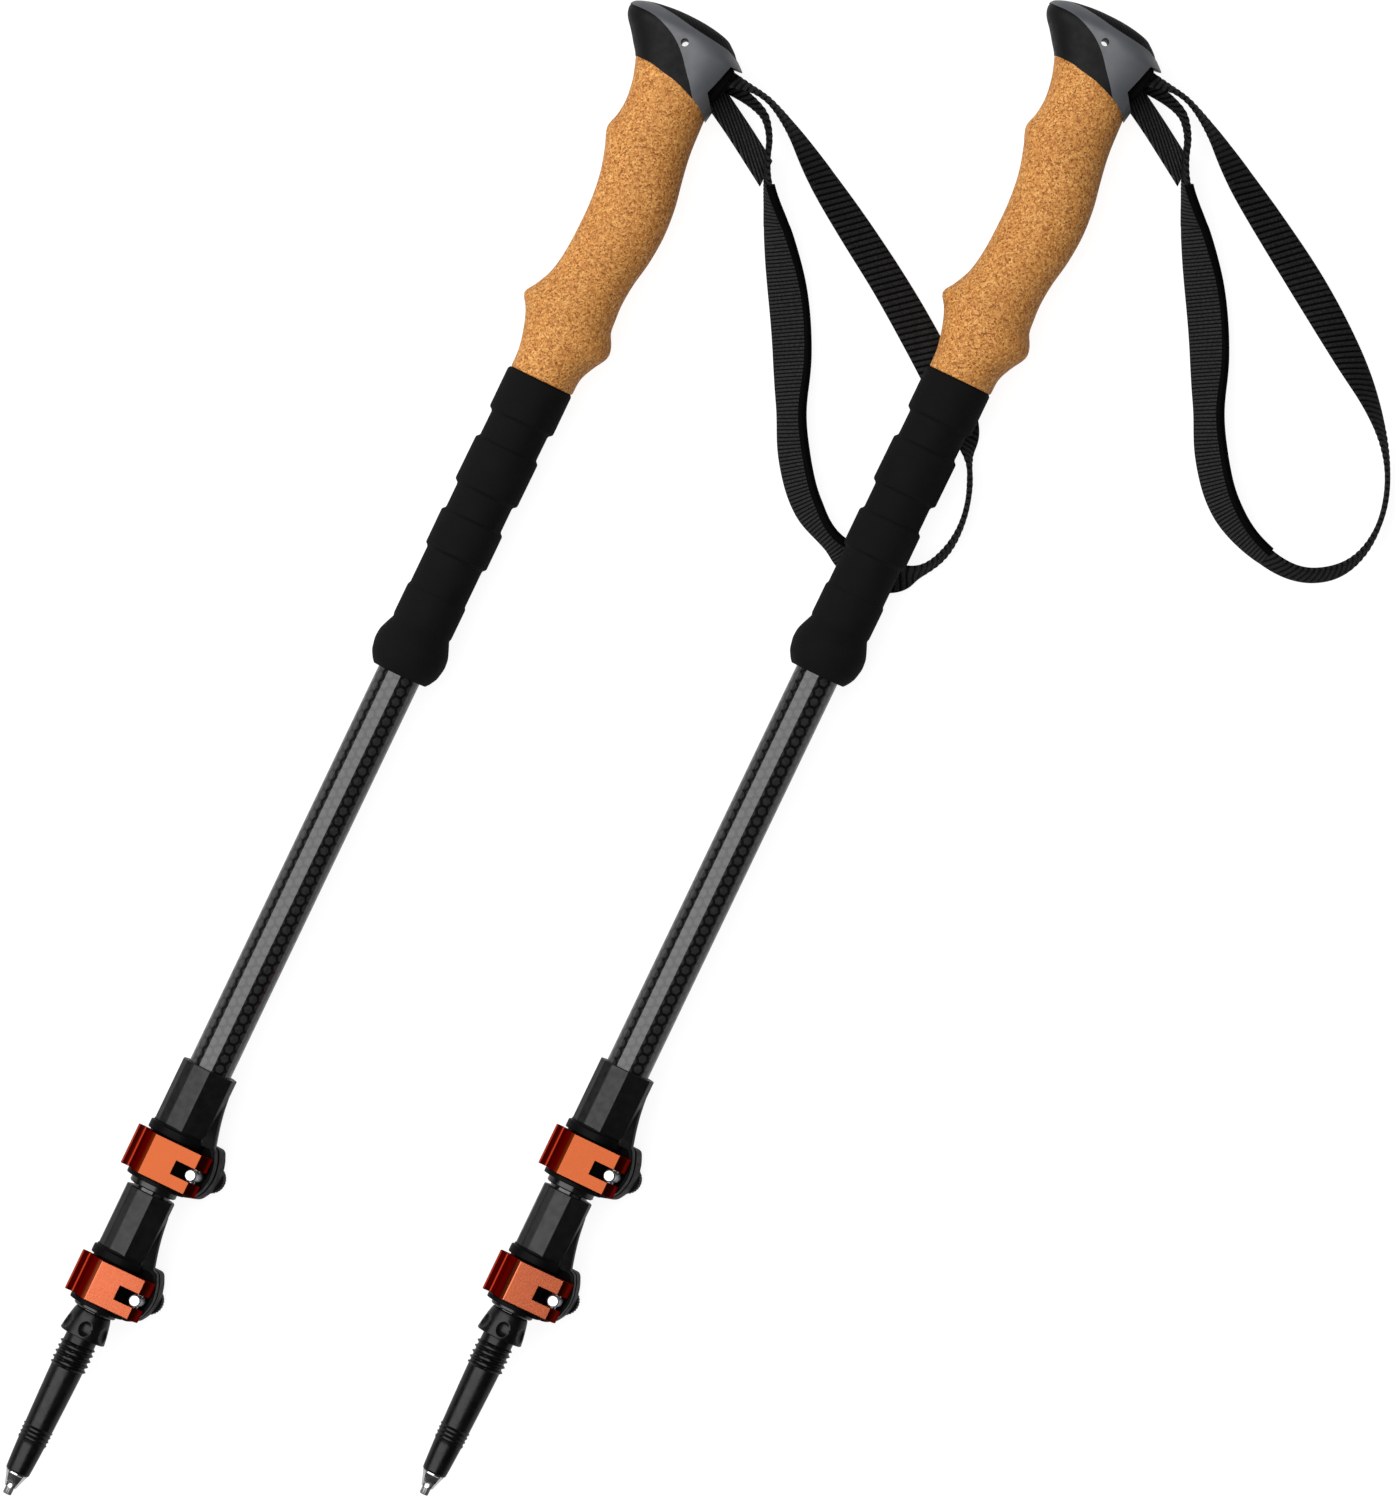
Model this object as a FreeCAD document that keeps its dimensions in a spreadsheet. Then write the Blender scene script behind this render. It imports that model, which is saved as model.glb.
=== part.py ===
"""A pair of three-section trekking poles, collapsed and laid side by side on a flat surface.

Frame: millimetres, +Z up, poles along +Y with the tips towards -Y, the left pole at -X.
The origin is at the middle of the pair's footprint, on the surface that the poles lie on.
In each pole's own frame X is the side of the hand strap (+) or of the finger side (-),
Y is the distance from the tip, and Z is the height above the pole's axis.
"""
import FreeCAD, Part
import math
import os
import Sketcher

Vector = FreeCAD.Vector
Rotation = FreeCAD.Rotation
Placement = FreeCAD.Placement

SIDES = ("left", "right")

# Driving dimensions in millimetres and degrees: cell alias -> value.
DIMENSIONS = {
    # the pair on its surface
    "axis_height": 18.4,
    "right_pole_shift_x": 150.7,
    "right_pole_shift_y": 72.35,
    "nose_reach": 32.7,
    "nut_reach": 25.2,
    "pole_length": 652.2,
    # telescoping tubes
    "upper_tube_radius": 9.0,
    "middle_tube_radius": 8.0,
    "lower_tube_radius": 7.0,
    "tube_wall": 0.8,
    "upper_tube_top": 612.0,
    "middle_tube_top": 590.0,
    "lower_tube_top": 556.0,
    "bush_flange": 6.0,
    "bush_plug": 12.0,
    "running_clearance": 0.08,
    # foam and cork grips
    "foam_start": 364.5,
    "cork_start": 495.0,
    # head
    "head_half_width": 18.4,
    "head_half_depth": 27.0,
    "head_centre_x": -6.2,
    "crown_radius": 31.0,
    "lanyard_hole_radius": 1.6,
    "lanyard_hole_x": -5.8,
    "lanyard_hole_y": 641.0,
    "strap_slot_start": 620.0,
    "strap_slot_end": 640.5,
    "strap_slot_floor": 8.5,
    "strap_slot_half_width": 8.6,
    "wedge_face": 15.6,
    "strap_pin_radius": 2.0,
    "strap_pin_x": 12.0,
    "strap_pin_y": 630.0,
    "strap_pin_half_length": 10.0,
    # clamps, measured from the clamp's lower end
    "upper_clamp_base": 138.0,
    "lower_clamp_base": 83.0,
    "low_ring": 2.0,
    "lever_zone": 18.0,
    "top_ring": 4.0,
    "neck_length": 27.0,
    "socket_start": 26.0,
    "collar_wall": 2.3,
    "ring_wall": 3.6,
    "top_ring_wall": 3.7,
    "edge_break": 0.5,
    "cut_past": 1.0,
    "slit_half_width": 0.9,
    "lower_clamp_turn": 5.5,
    "bolt_offset": 15.6,
    "bolt_tilt": 14.0,
    "bolt_shank_radius": 2.0,
    "bolt_head_radius": 2.5,
    "bolt_front": 16.6,
    "bolt_end": -16.6,
    "pivot_height": 10.8,
    "pivot_radius": 1.5,
    "ear_top": 6.2,
    "ear_bottom": -10.7,
    "ear_rim": 5.6,
    "ear_inset": 0.35,
    "nut_radius": 6.0,
    "nut_top": -11.0,
    "nut_bottom": -16.2,
    "lever_gap": 0.35,
    "cam_radius": 3.9,
    "fork_half_width": 2.9,
    "fork_depth": 4.0,
    # seal rings
    "upper_seal_length": 2.6,
    "lower_seal_length": 1.6,
    # tip
    "carbide_radius": 1.8,
    "carbide_length": 3.0,
    "flute_end": 9.5,
    "flute_radius": 4.5,
    "flute_shank": 3.0,
    "thread_start": 56.0,
    "thread_end": 67.0,
    "thread_radius": 7.4,
    "collar_start": 70.0,
    "collar_end": 81.0,
    "collar_radius": 9.6,
    "lower_tube_start": 73.0,
    # wrist strap
    "strap_width": 15.0,
    "strap_thickness": 1.8,
    "tail_width": 12.0,
    "tail_thickness": 1.4,
}

# Foam grip: length along the grip, radius. The flare is at its lower end, five bands above it.
FOAM_OUTLINE = (
    (0.0, 12.0), (4.5, 14.4), (9.5, 15.4), (15.0, 14.6), (20.5, 12.3),
    (21.5, 12.7), (34.5, 12.7), (35.5, 12.1), (51.5, 12.1),
    (52.5, 13.4), (67.5, 13.4), (68.5, 12.1), (79.5, 12.1),
    (80.5, 13.7), (99.5, 13.7), (100.5, 12.4), (111.5, 12.4),
    (112.5, 14.0), (130.5, 14.0),
)

# Cork grip sections: distance from the tip, reach to the front, reach to the back, half width.
CORK_SECTIONS = (
    (495, 13.0, 14.0, 13.8), (504, 13.4, 15.2, 13.9), (514, 16.0, 20.0, 14.3),
    (524, 21.0, 17.6, 14.6), (534, 15.8, 16.5, 14.1), (550, 13.0, 18.0, 13.9),
    (566, 12.9, 19.8, 14.1), (582, 14.8, 18.6, 14.3), (598, 19.7, 15.6, 14.7),
    (610, 17.6, 14.6, 15.0), (620, 19.0, 14.3, 15.7), (632, 24.0, 14.0, 16.8),
)

# Side outlines of the head's three pieces, in the pole's X and Y.
CORK_TOP_EDGE = ((-22.0, 628.0), (14.0, 617.0))
SHELL_LOWER_EDGE = ((8.0, 618.9), (3.0, 627.0), (-1.0, 632.0), (-6.0, 637.5), (-12.0, 642.0),
                    (-20.0, 645.3), (-31.5, 646.0))
SHELL_UPPER_EDGE = ((-31.0, 648.3), (-25.0, 650.0), (-15.0, 649.5), (-5.0, 647.8), (10.0, 646.0),
                    (16.0, 643.6))
NOSE_FRONT = ((-32.7, 645.3), (-30.5, 641.0), (-26.0, 636.0))
SHELL_BACK = ((20.0, 640.5), (17.6, 634.0), (16.0, 626.0), (15.6, 619.0), (14.0, 617.0))
PAD_TOP = ((12.0, 647.6), (5.0, 650.5), (-10.0, 652.2), (-20.0, 651.6))

# Lever section in the clamp's X and Z: flat face on top, curved side and finger lip at -X.
LEVER_OUTLINE = (
    (15.6, 13.4), (12.0, 15.4), (-8.0, 15.4), (-10.6, 13.4), (-11.8, 10.2), (-12.2, 7.4),
    (-15.2, 6.4), (-16.0, 5.6), (-16.0, 4.4), (-14.8, 3.8), (-11.4, 4.6), (0.0, 11.0), (9.0, 8.4),
)

# What is cut from the ears' block at its two outer corners, in the clamp's X and Y.
EAR_UPPER_CUT = ((18.6, 25.0), (20.6, 21.6), (22.2, 16.6), (22.9, 12.5), (30.0, 12.5), (30.0, 25.0))
EAR_LOWER_CUT = ((22.9, 12.0), (22.0, 6.6), (20.4, 2.4), (17.0, -1.0), (30.0, -1.0), (30.0, 12.0))

# Neck section of the upper clamp in X and Z: a ridge at the front and back, flats between.
NECK_OUTLINE = (
    (0.7, 12.3), (-9.3, 7.2), (-11.5, 2.6), (-11.5, -2.6), (-9.3, -7.2),
    (0.7, -12.3), (10.2, -7.2), (11.8, -2.6), (11.8, 2.6), (10.2, 7.2),
)
# Flare from the neck into the ears: distance above the neck's start, reach in X, half height.
FLARE_SECTIONS = ((-1.0, 15.8, 6.2), (6.0, 13.9, 5.2), (12.0, 12.5, 4.2), (20.0, 11.7, 3.0))

# Wrist strap route: pole's X and Y, and height above the surface. It leaves the head, falls to
# the surface, lies in one long loop and comes back up into the head.
STRAP_ROUTE = (
    (15.6, 631.5, 22.0), (29.0, 631.5, 20.4), (45.0, 627.5, 12.5), (66.0, 616.0, 4.0),
    (88.0, 603.0, 1.0), (112.0, 588.5, 1.0), (136.0, 571.5, 1.0), (158.0, 553.0, 1.0),
    (172.0, 533.5, 1.0), (177.0, 512.5, 1.0), (170.0, 494.0, 1.0), (153.5, 484.5, 1.0),
    (134.0, 486.0, 1.0), (117.5, 495.5, 1.0), (105.0, 511.0, 1.0), (94.5, 529.5, 1.0),
    (85.5, 549.5, 1.0), (74.0, 569.5, 1.0), (60.0, 588.5, 1.5), (47.5, 604.0, 4.5),
    (39.0, 618.0, 10.0), (28.5, 627.0, 13.6), (15.6, 628.8, 14.2),
)
TAIL_ROUTE = ((15.6, 627.0, 10.9), (23.5, 624.6, 8.8), (33.0, 614.6, 3.4), (42.5, 605.4, 1.0))

document = FreeCAD.newDocument("trekking_poles")
sheet = document.addObject("Spreadsheet::Sheet", "dims")
for row, (alias, number) in enumerate(DIMENSIONS.items(), start=1):
    sheet.set(f"A{row}", alias)
    sheet.set(f"B{row}", str(number))
    sheet.setAlias(f"B{row}", alias)
document.recompute()

# Places of the two poles: the pair's footprint is centred on the origin.
POLE_X = {
    "left": "-(dims.right_pole_shift_x + dims.nut_reach - dims.nose_reach) / 2",
    "right": "dims.right_pole_shift_x - (dims.right_pole_shift_x + dims.nut_reach"
             " - dims.nose_reach) / 2",
}
POLE_Y = {
    "left": "-(dims.pole_length + dims.right_pole_shift_y) / 2",
    "right": "dims.right_pole_shift_y - (dims.pole_length + dims.right_pole_shift_y) / 2",
}

# The bolt's distance from the clamp's lower end, and the lever pivot's place in the clamp.
BOLT_STATION = "dims.low_ring + dims.lever_zone / 2 - 0.5"
PIVOT_X = "dims.bolt_offset - dims.pivot_height * sin(dims.bolt_tilt)"
PIVOT_Z = "dims.pivot_height * cos(dims.bolt_tilt)"
pieces = []


def number(expression):
    """The value of an expression over the sheet's cells."""
    return float(sheet.evalExpression(str(expression)))


def size(alias):
    """One of the sheet's driving dimensions."""
    return float(sheet.get(alias))


def place(piece, side, x="0", y="0", z="0", rotation=None, turn=0.0):
    """Put a piece at a point of its pole, given as expressions in the pole's own frame.

    The piece is first rotated in place, then turned with its point about the pole's axis.
    """
    about_pole = Rotation(Vector(0, 1, 0), turn)
    piece.Placement = Placement(Vector(), about_pole.multiply(rotation or Rotation()))
    across_x = f"({x}) * cos({turn}) + ({z}) * sin({turn})"
    across_z = f"({z}) * cos({turn}) - ({x}) * sin({turn})"
    piece.setExpression("Placement.Base.x", f"{POLE_X[side]} + {across_x}")
    piece.setExpression("Placement.Base.y", f"{POLE_Y[side]} + {y}")
    piece.setExpression("Placement.Base.z", f"dims.axis_height + {across_z}")


def clamp_turn(level):
    """How far a clamp is turned about the pole's axis, in degrees."""
    return size("lower_clamp_turn") if level == "lower" else 0.0


def finish_piece(piece, label):
    """Name a finished sub-part after its node and keep it for export."""
    piece.Label = label
    pieces.append(piece)
    return piece


def new_body(name):
    return document.addObject("PartDesign::Body", name)


def new_sketch(body, role, name, offset=None):
    """A sketch on one of the body's own origin planes."""
    sketch = body.newObject("Sketcher::SketchObject", name)
    plane = [item for item in body.Origin.OriginFeatures if item.Role == role][0]
    sketch.AttachmentSupport = [(plane, "")]
    sketch.MapMode = "FlatFace"
    if offset is not None:
        sketch.AttachmentOffset = offset
    return sketch


def fix_point(sketch, geometry, point, x, y):
    """Hold one sketch point at an expression's place."""
    for kind, expression, axis in (("DistanceX", x, -2), ("DistanceY", y, -1)):
        distance = number(expression)
        if abs(distance) < 1e-9:
            sketch.addConstraint(Sketcher.Constraint("PointOnObject", geometry, point, axis))
            continue
        index = sketch.addConstraint(
            Sketcher.Constraint(kind, -1, 1, geometry, point, distance))
        sketch.setExpression(f"Constraints[{index}]", str(expression))


def polygon(body, role, name, points, offset=None):
    """A closed outline of straight lines through points given as expressions."""
    sketch = new_sketch(body, role, name, offset)
    places = [Vector(number(x), number(y), 0) for x, y in points]
    count = len(places)
    for index in range(count):
        line = Part.LineSegment(places[index], places[(index + 1) % count])
        sketch.addGeometry(line, False)
    for index in range(count):
        following = (index + 1) % count
        sketch.addConstraint(Sketcher.Constraint("Coincident", index, 2, following, 1))
    for index, (x, y) in enumerate(points):
        fix_point(sketch, index, 1, x, y)
    return sketch


def circle(body, role, name, x, y, radius, offset=None):
    """A circle whose centre and radius are expressions."""
    sketch = new_sketch(body, role, name, offset)
    shape = Part.Circle(Vector(number(x), number(y), 0), Vector(0, 0, 1), number(radius))
    sketch.addGeometry(shape, False)
    fix_point(sketch, 0, 3, x, y)
    index = sketch.addConstraint(Sketcher.Constraint("Radius", 0, number(radius)))
    sketch.setExpression(f"Constraints[{index}]", str(radius))
    return sketch


def across(body, name, points, station):
    """A closed outline in X and Z, square to the pole, at a distance along it."""
    offset = Placement(Vector(0, 0, -number(station)), Rotation())
    sketch = polygon(body, "XZ_Plane", name, points, offset)
    sketch.setExpression("AttachmentOffset.Base.z", f"-({station})")
    return sketch


def revolve(body, sketch, kind="Revolution"):
    """Turn an outline about its sketch's vertical axis, as a solid or as a cut."""
    feature = body.newObject(f"PartDesign::{kind}", kind)
    feature.Profile = sketch
    feature.ReferenceAxis = (sketch, ["V_Axis"])
    feature.Angle = 360
    sketch.Visibility = False
    return feature


def extrude(body, sketch, length, kind="Pad"):
    """Extrude an outline to both sides of its plane, as a solid or as a cut."""
    feature = body.newObject(f"PartDesign::{kind}", kind)
    feature.Profile = sketch
    feature.setExpression("Length", str(length))
    feature.SideType = "Symmetric"
    sketch.Visibility = False
    return feature


def turned(side, name, outline, y="0"):
    """A body turned about the pole's axis: outline points are radius and distance."""
    body = new_body(f"{side}_{name}")
    revolve(body, polygon(body, "XY_Plane", "Outline", outline))
    place(body, side, y=y)
    return finish_piece(body, f"{side}_{name}")


def tube(side, name, radius, start, end):
    """A plain thin-walled tube on the pole's axis."""
    inner = f"{radius} - dims.tube_wall"
    return turned(side, name, ((inner, start), (radius, start), (radius, end), (inner, end)))


def glide_bush(side, name, radius, top):
    """The plastic plug on a tube's hidden top end, which runs in the tube outside it."""
    plug = f"{radius} - dims.tube_wall"
    flange = f"{radius} + 1 - dims.tube_wall - dims.running_clearance"
    outline = (("0", f"{top} - dims.bush_plug"), (plug, f"{top} - dims.bush_plug"), (plug, top),
               (flange, top), (flange, f"{top} + dims.bush_flange"),
               ("0", f"{top} + dims.bush_flange"))
    return turned(side, name, outline)


def clamp_body(side, level, fixed, held):
    """Split collar with two rings, a faceted neck and the ears that the bolt pulls together."""
    outer = f"dims.{fixed}_tube_radius"
    bore = f"dims.{held}_tube_radius + dims.running_clearance"
    neck_start = "dims.low_ring + dims.lever_zone + dims.top_ring"
    neck_end = f"{neck_start} + dims.neck_length"
    body = new_body(f"{side}_{level}_clamp_body")
    collar = (("0", "0"), (f"{outer} + dims.ring_wall - dims.edge_break", "0"),
              (f"{outer} + dims.ring_wall", "dims.edge_break"),
              (f"{outer} + dims.ring_wall", "dims.low_ring"),
              (f"{outer} + dims.collar_wall", "dims.low_ring"),
              (f"{outer} + dims.collar_wall", "dims.low_ring + dims.lever_zone"),
              (f"{outer} + dims.top_ring_wall", "dims.low_ring + dims.lever_zone"),
              (f"{outer} + dims.top_ring_wall", f"{neck_start} - dims.edge_break"),
              (f"{outer} + dims.top_ring_wall - dims.edge_break", neck_start), ("0", neck_start))
    revolve(body, polygon(body, "XY_Plane", "CollarOutline", collar))

    # Neck: a prism that scales with the tube in it.
    corners = [(f"{x} * {outer} / dims.upper_tube_radius", f"{z} * {outer} / dims.upper_tube_radius")
               for x, z in NECK_OUTLINE]
    middle = f"{neck_start} + (dims.neck_length - dims.cut_past) / 2"
    extrude(body, across(body, "NeckOutline", corners, middle), "dims.neck_length + dims.cut_past")

    # Flare that runs from the neck into the ears.
    shift = f"{outer} - dims.upper_tube_radius"
    sections = []
    for index, (along, reach, half) in enumerate(FLARE_SECTIONS):
        corners = (("6", half), ("6", -half), (f"{reach} + {shift}", -half),
                   (f"{reach} + {shift}", half))
        sections.append(across(body, f"Flare{index}", corners, f"{neck_start} + {along}"))
    flare = body.newObject("PartDesign::AdditiveLoft", "Flare")
    flare.Profile = sections[0]
    flare.Sections = sections[1:]

    # Ears: a block square to the tilted bolt, between the lever's cam and the nut.
    length = "dims.low_ring + dims.lever_zone + dims.top_ring"
    corners = []
    for along, side_step in (("dims.ear_top", "-8"), ("dims.ear_top", "dims.ear_rim"),
                             ("dims.ear_bottom", "dims.ear_rim"), ("dims.ear_bottom", "-8")):
        corners.append((f"dims.bolt_offset - {along} * sin(dims.bolt_tilt)"
                        f" + {side_step} * cos(dims.bolt_tilt)",
                        f"{along} * cos(dims.bolt_tilt) + {side_step} * sin(dims.bolt_tilt)"))
    extrude(body, across(body, "EarOutline", corners, f"({length}) / 2"),
            f"{length} - 2 * dims.ear_inset")

    # The ears' outer corners are cut back to a rounded D.
    for name, cut in (("UpperCorner", EAR_UPPER_CUT), ("LowerCorner", EAR_LOWER_CUT)):
        extrude(body, polygon(body, "XY_Plane", name, cut), "60", "Pocket")

    # Bore for the sliding tube, socket for the fixed tube, slit and bolt hole.
    before, after = "-dims.cut_past", f"{neck_end} + dims.cut_past"
    bores = (("0", before), (bore, before), (bore, "dims.socket_start"),
             (outer, "dims.socket_start"), (outer, after), ("0", after))
    revolve(body, polygon(body, "XY_Plane", "BoreOutline", bores), "Groove")
    slit = ((f"{outer} - 3", before), ("30", before), ("30", neck_start),
            (f"{outer} - 3", neck_start))
    extrude(body, polygon(body, "XY_Plane", "SlitOutline", slit), "2 * dims.slit_half_width",
            "Pocket")
    offset = Placement(Vector(size("bolt_offset"), number(BOLT_STATION), 0),
                       Rotation(Vector(0, 1, 0), -size("bolt_tilt")))
    hole = circle(body, "XY_Plane", "BoltHole", "0", "0",
                  "dims.bolt_shank_radius + dims.running_clearance", offset)
    extrude(body, hole, "40", "Pocket")
    place(body, side, y=f"dims.{level}_clamp_base", turn=clamp_turn(level))
    return finish_piece(body, f"{side}_{level}_clamp_body")


def place_on_bolt(piece, side, level):
    """Put a piece made about the Z axis on the tilted bolt's centre line."""
    place(piece, side, x="dims.bolt_offset", y=f"dims.{level}_clamp_base + {BOLT_STATION}",
          rotation=Rotation(Vector(0, 1, 0), -size("bolt_tilt")), turn=clamp_turn(level))


def clamp_bolt(side, level):
    """Eye bolt: thick front end with a cross hole for the pivot pin, plain shank for the nut."""
    body = new_body(f"{side}_{level}_clamp_bolt")
    shank, rim = "dims.bolt_shank_radius", "dims.bolt_head_radius"
    shoulder = "dims.ear_top + dims.running_clearance"
    outline = (("0", "dims.bolt_end"), (f"{shank} - dims.edge_break", "dims.bolt_end"),
               (shank, "dims.bolt_end + dims.edge_break"), (shank, shoulder), (rim, shoulder),
               (rim, "dims.bolt_front - dims.edge_break"),
               (f"{rim} - dims.edge_break", "dims.bolt_front"), ("0", "dims.bolt_front"))
    revolve(body, polygon(body, "XZ_Plane", "Outline", outline))
    eye = circle(body, "XZ_Plane", "Eye", "0", "dims.pivot_height", "dims.pivot_radius")
    extrude(body, eye, "10", "Pocket")
    place_on_bolt(body, side, level)
    return finish_piece(body, f"{side}_{level}_clamp_bolt")


def clamp_nut(side, level):
    """Thumb nut under the ears."""
    body = new_body(f"{side}_{level}_clamp_nut")
    bore = "dims.bolt_shank_radius + dims.running_clearance"
    outline = ((bore, "dims.nut_bottom"), ("dims.nut_radius - dims.edge_break", "dims.nut_bottom"),
               ("dims.nut_radius", "dims.nut_bottom + dims.edge_break"),
               ("dims.nut_radius", "dims.nut_top - dims.edge_break"),
               ("dims.nut_radius - dims.edge_break", "dims.nut_top"), (bore, "dims.nut_top"))
    revolve(body, polygon(body, "XZ_Plane", "Outline", outline))
    place_on_bolt(body, side, level)
    return finish_piece(body, f"{side}_{level}_clamp_nut")


def pivot_pin(side, level):
    """Cross pin through the bolt's eye, on which the lever turns."""
    pin = document.addObject("Part::Cylinder", f"{side}_{level}_clamp_pivot_pin")
    pin.setExpression("Radius", "dims.pivot_radius")
    pin.setExpression("Height", "dims.lever_zone - 4")
    place(pin, side, x=PIVOT_X, z=PIVOT_Z,
          y=f"dims.{level}_clamp_base + {BOLT_STATION} - dims.lever_zone / 2 + 2",
          rotation=Rotation(Vector(1, 0, 0), -90), turn=clamp_turn(level))
    return finish_piece(pin, f"{side}_{level}_clamp_pivot_pin")


def clamp_lever(side, level, fixed):
    """Cam lever: a plate over the collar's front with a fork about the bolt and a finger lip."""
    outer = f"dims.{fixed}_tube_radius"
    shift = f"{outer} - dims.upper_tube_radius"
    width = "dims.lever_zone - 2 * dims.lever_gap"
    body = new_body(f"{side}_{level}_clamp_lever")
    outline = [(f"{x} - ({shift})" if x < 0 else x, z) for x, z in LEVER_OUTLINE]
    extrude(body, polygon(body, "XZ_Plane", "Outline", outline), width)
    cam = circle(body, "XZ_Plane", "Cam", PIVOT_X, PIVOT_Z, "dims.cam_radius")
    extrude(body, cam, width)
    clearance = circle(body, "XZ_Plane", "CollarClearance", "0", "0",
                       f"{outer} + dims.collar_wall + dims.lever_gap")
    extrude(body, clearance, "40", "Pocket")
    bore = circle(body, "XZ_Plane", "PinBore", PIVOT_X, PIVOT_Z,
                  "dims.pivot_radius + dims.running_clearance")
    extrude(body, bore, "dims.lever_zone - 2.4", "Pocket")
    fork = (("dims.fork_depth", "-dims.fork_half_width - 0.5"),
            ("30", "-dims.fork_half_width - 0.5"), ("30", "dims.fork_half_width - 0.5"),
            ("dims.fork_depth", "dims.fork_half_width - 0.5"))
    extrude(body, polygon(body, "XY_Plane", "Fork", fork), "60", "Pocket")
    place(body, side, y=f"dims.{level}_clamp_base + dims.low_ring + dims.lever_zone / 2",
          turn=clamp_turn(level))
    return finish_piece(body, f"{side}_{level}_clamp_lever")


def seal_ring(side, level, fixed, held, length):
    """Soft wiper ring under a clamp."""
    bore = f"dims.{held}_tube_radius + dims.running_clearance"
    rim = f"dims.{fixed}_tube_radius + 1"
    base = f"dims.{level}_clamp_base"
    outline = ((bore, f"{base} - {length}"), (f"{rim} - dims.edge_break", f"{base} - {length}"),
               (rim, f"{base} - {length} + dims.edge_break"), (rim, base), (bore, base))
    return turned(side, f"{level}_seal_ring", outline)


def foam_grip(side):
    """Foam sleeve on the upper tube below the cork, with a flare and raised bands."""
    outline = [("dims.upper_tube_radius", "dims.foam_start")]
    outline += [(radius, f"dims.foam_start + {along}") for along, radius in FOAM_OUTLINE]
    outline += [("dims.upper_tube_radius", f"dims.foam_start + {FOAM_OUTLINE[-1][0]}")]
    return turned(side, "foam_grip", outline)


def oval(station, front, back, half_width):
    """A closed smooth oval across the pole."""
    centre, half_depth = (back - front) / 2, (back + front) / 2
    points = []
    for step in range(16):
        angle = 2 * math.pi * step / 16
        points.append(Vector(centre + half_depth * math.cos(angle), station,
                             half_width * math.sin(angle)))
    curve = Part.BSplineCurve()
    curve.interpolate(Points=points, PeriodicFlag=True)
    return Part.Wire(curve.toShape())


def cork_grip(side):
    """Shaped cork handle: ovals lofted along the pole, cut by the slanted plane under the head."""
    solid = Part.makeLoft([oval(*section) for section in CORK_SECTIONS], True, False)
    bore_length = size("upper_tube_top") - size("cork_start") + 1
    bore = Part.makeCylinder(size("upper_tube_radius"), bore_length,
                             Vector(0, size("cork_start") - 1, 0), Vector(0, 1, 0))
    (front_x, front_y), (back_x, back_y) = CORK_TOP_EDGE
    slant = math.degrees(math.atan2(back_y - front_y, back_x - front_x))
    above = Part.makeBox(120, 60, 80, Vector(-60, 0, -40))
    above.Placement = Placement(Vector(front_x, front_y, 0), Rotation(Vector(0, 0, 1), slant),
                                Vector()).multiply(above.Placement)
    grip = document.addObject("Part::Feature", f"{side}_cork_grip")
    grip.Shape = solid.cut(bore).cut(above)
    place(grip, side)
    return finish_piece(grip, f"{side}_cork_grip")


def head_envelope(side, name):
    """The head's rounded outside: an oval column seen from above, with a crowned top."""
    ellipse = document.addObject("Part::Ellipse", f"{side}_{name}_oval")
    ellipse.setExpression("MajorRadius", "dims.head_half_depth")
    ellipse.setExpression("MinorRadius", "dims.head_half_width")
    ellipse.Placement = Placement(Vector(size("head_centre_x"), 600, 0),
                                  Rotation(Vector(1, 0, 0), -90))
    ellipse.setExpression("Placement.Base.x", "dims.head_centre_x")
    column = document.addObject("Part::Extrusion", f"{side}_{name}_column")
    column.Base = ellipse
    column.Dir = Vector(0, 1, 0)
    column.LengthFwd = 70
    column.Solid = True
    crown = document.addObject("Part::Cylinder", f"{side}_{name}_crown")
    crown.setExpression("Radius", "dims.crown_radius")
    crown.Height = 100
    crown.Placement = Placement(Vector(-60, 0, 0), Rotation(Vector(0, 1, 0), 90))
    crown.setExpression("Placement.Base.y", "dims.pole_length - dims.crown_radius")
    return column, crown


def head_piece(side, name, outline, cuts=()):
    """One piece of the head: its side outline across the full width, inside the envelope."""
    body = new_body(f"{side}_{name}_blank")
    extrude(body, polygon(body, "XY_Plane", "Outline", outline), "2 * dims.head_half_width + 2")
    for cut_name, sketcher, length in cuts:
        extrude(body, sketcher(body, cut_name), length, "Pocket")
    common = document.addObject("Part::MultiCommon", f"{side}_{name}")
    common.Shapes = [body, *head_envelope(side, name)]
    place(common, side)
    return finish_piece(common, f"{side}_{name}")


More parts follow.
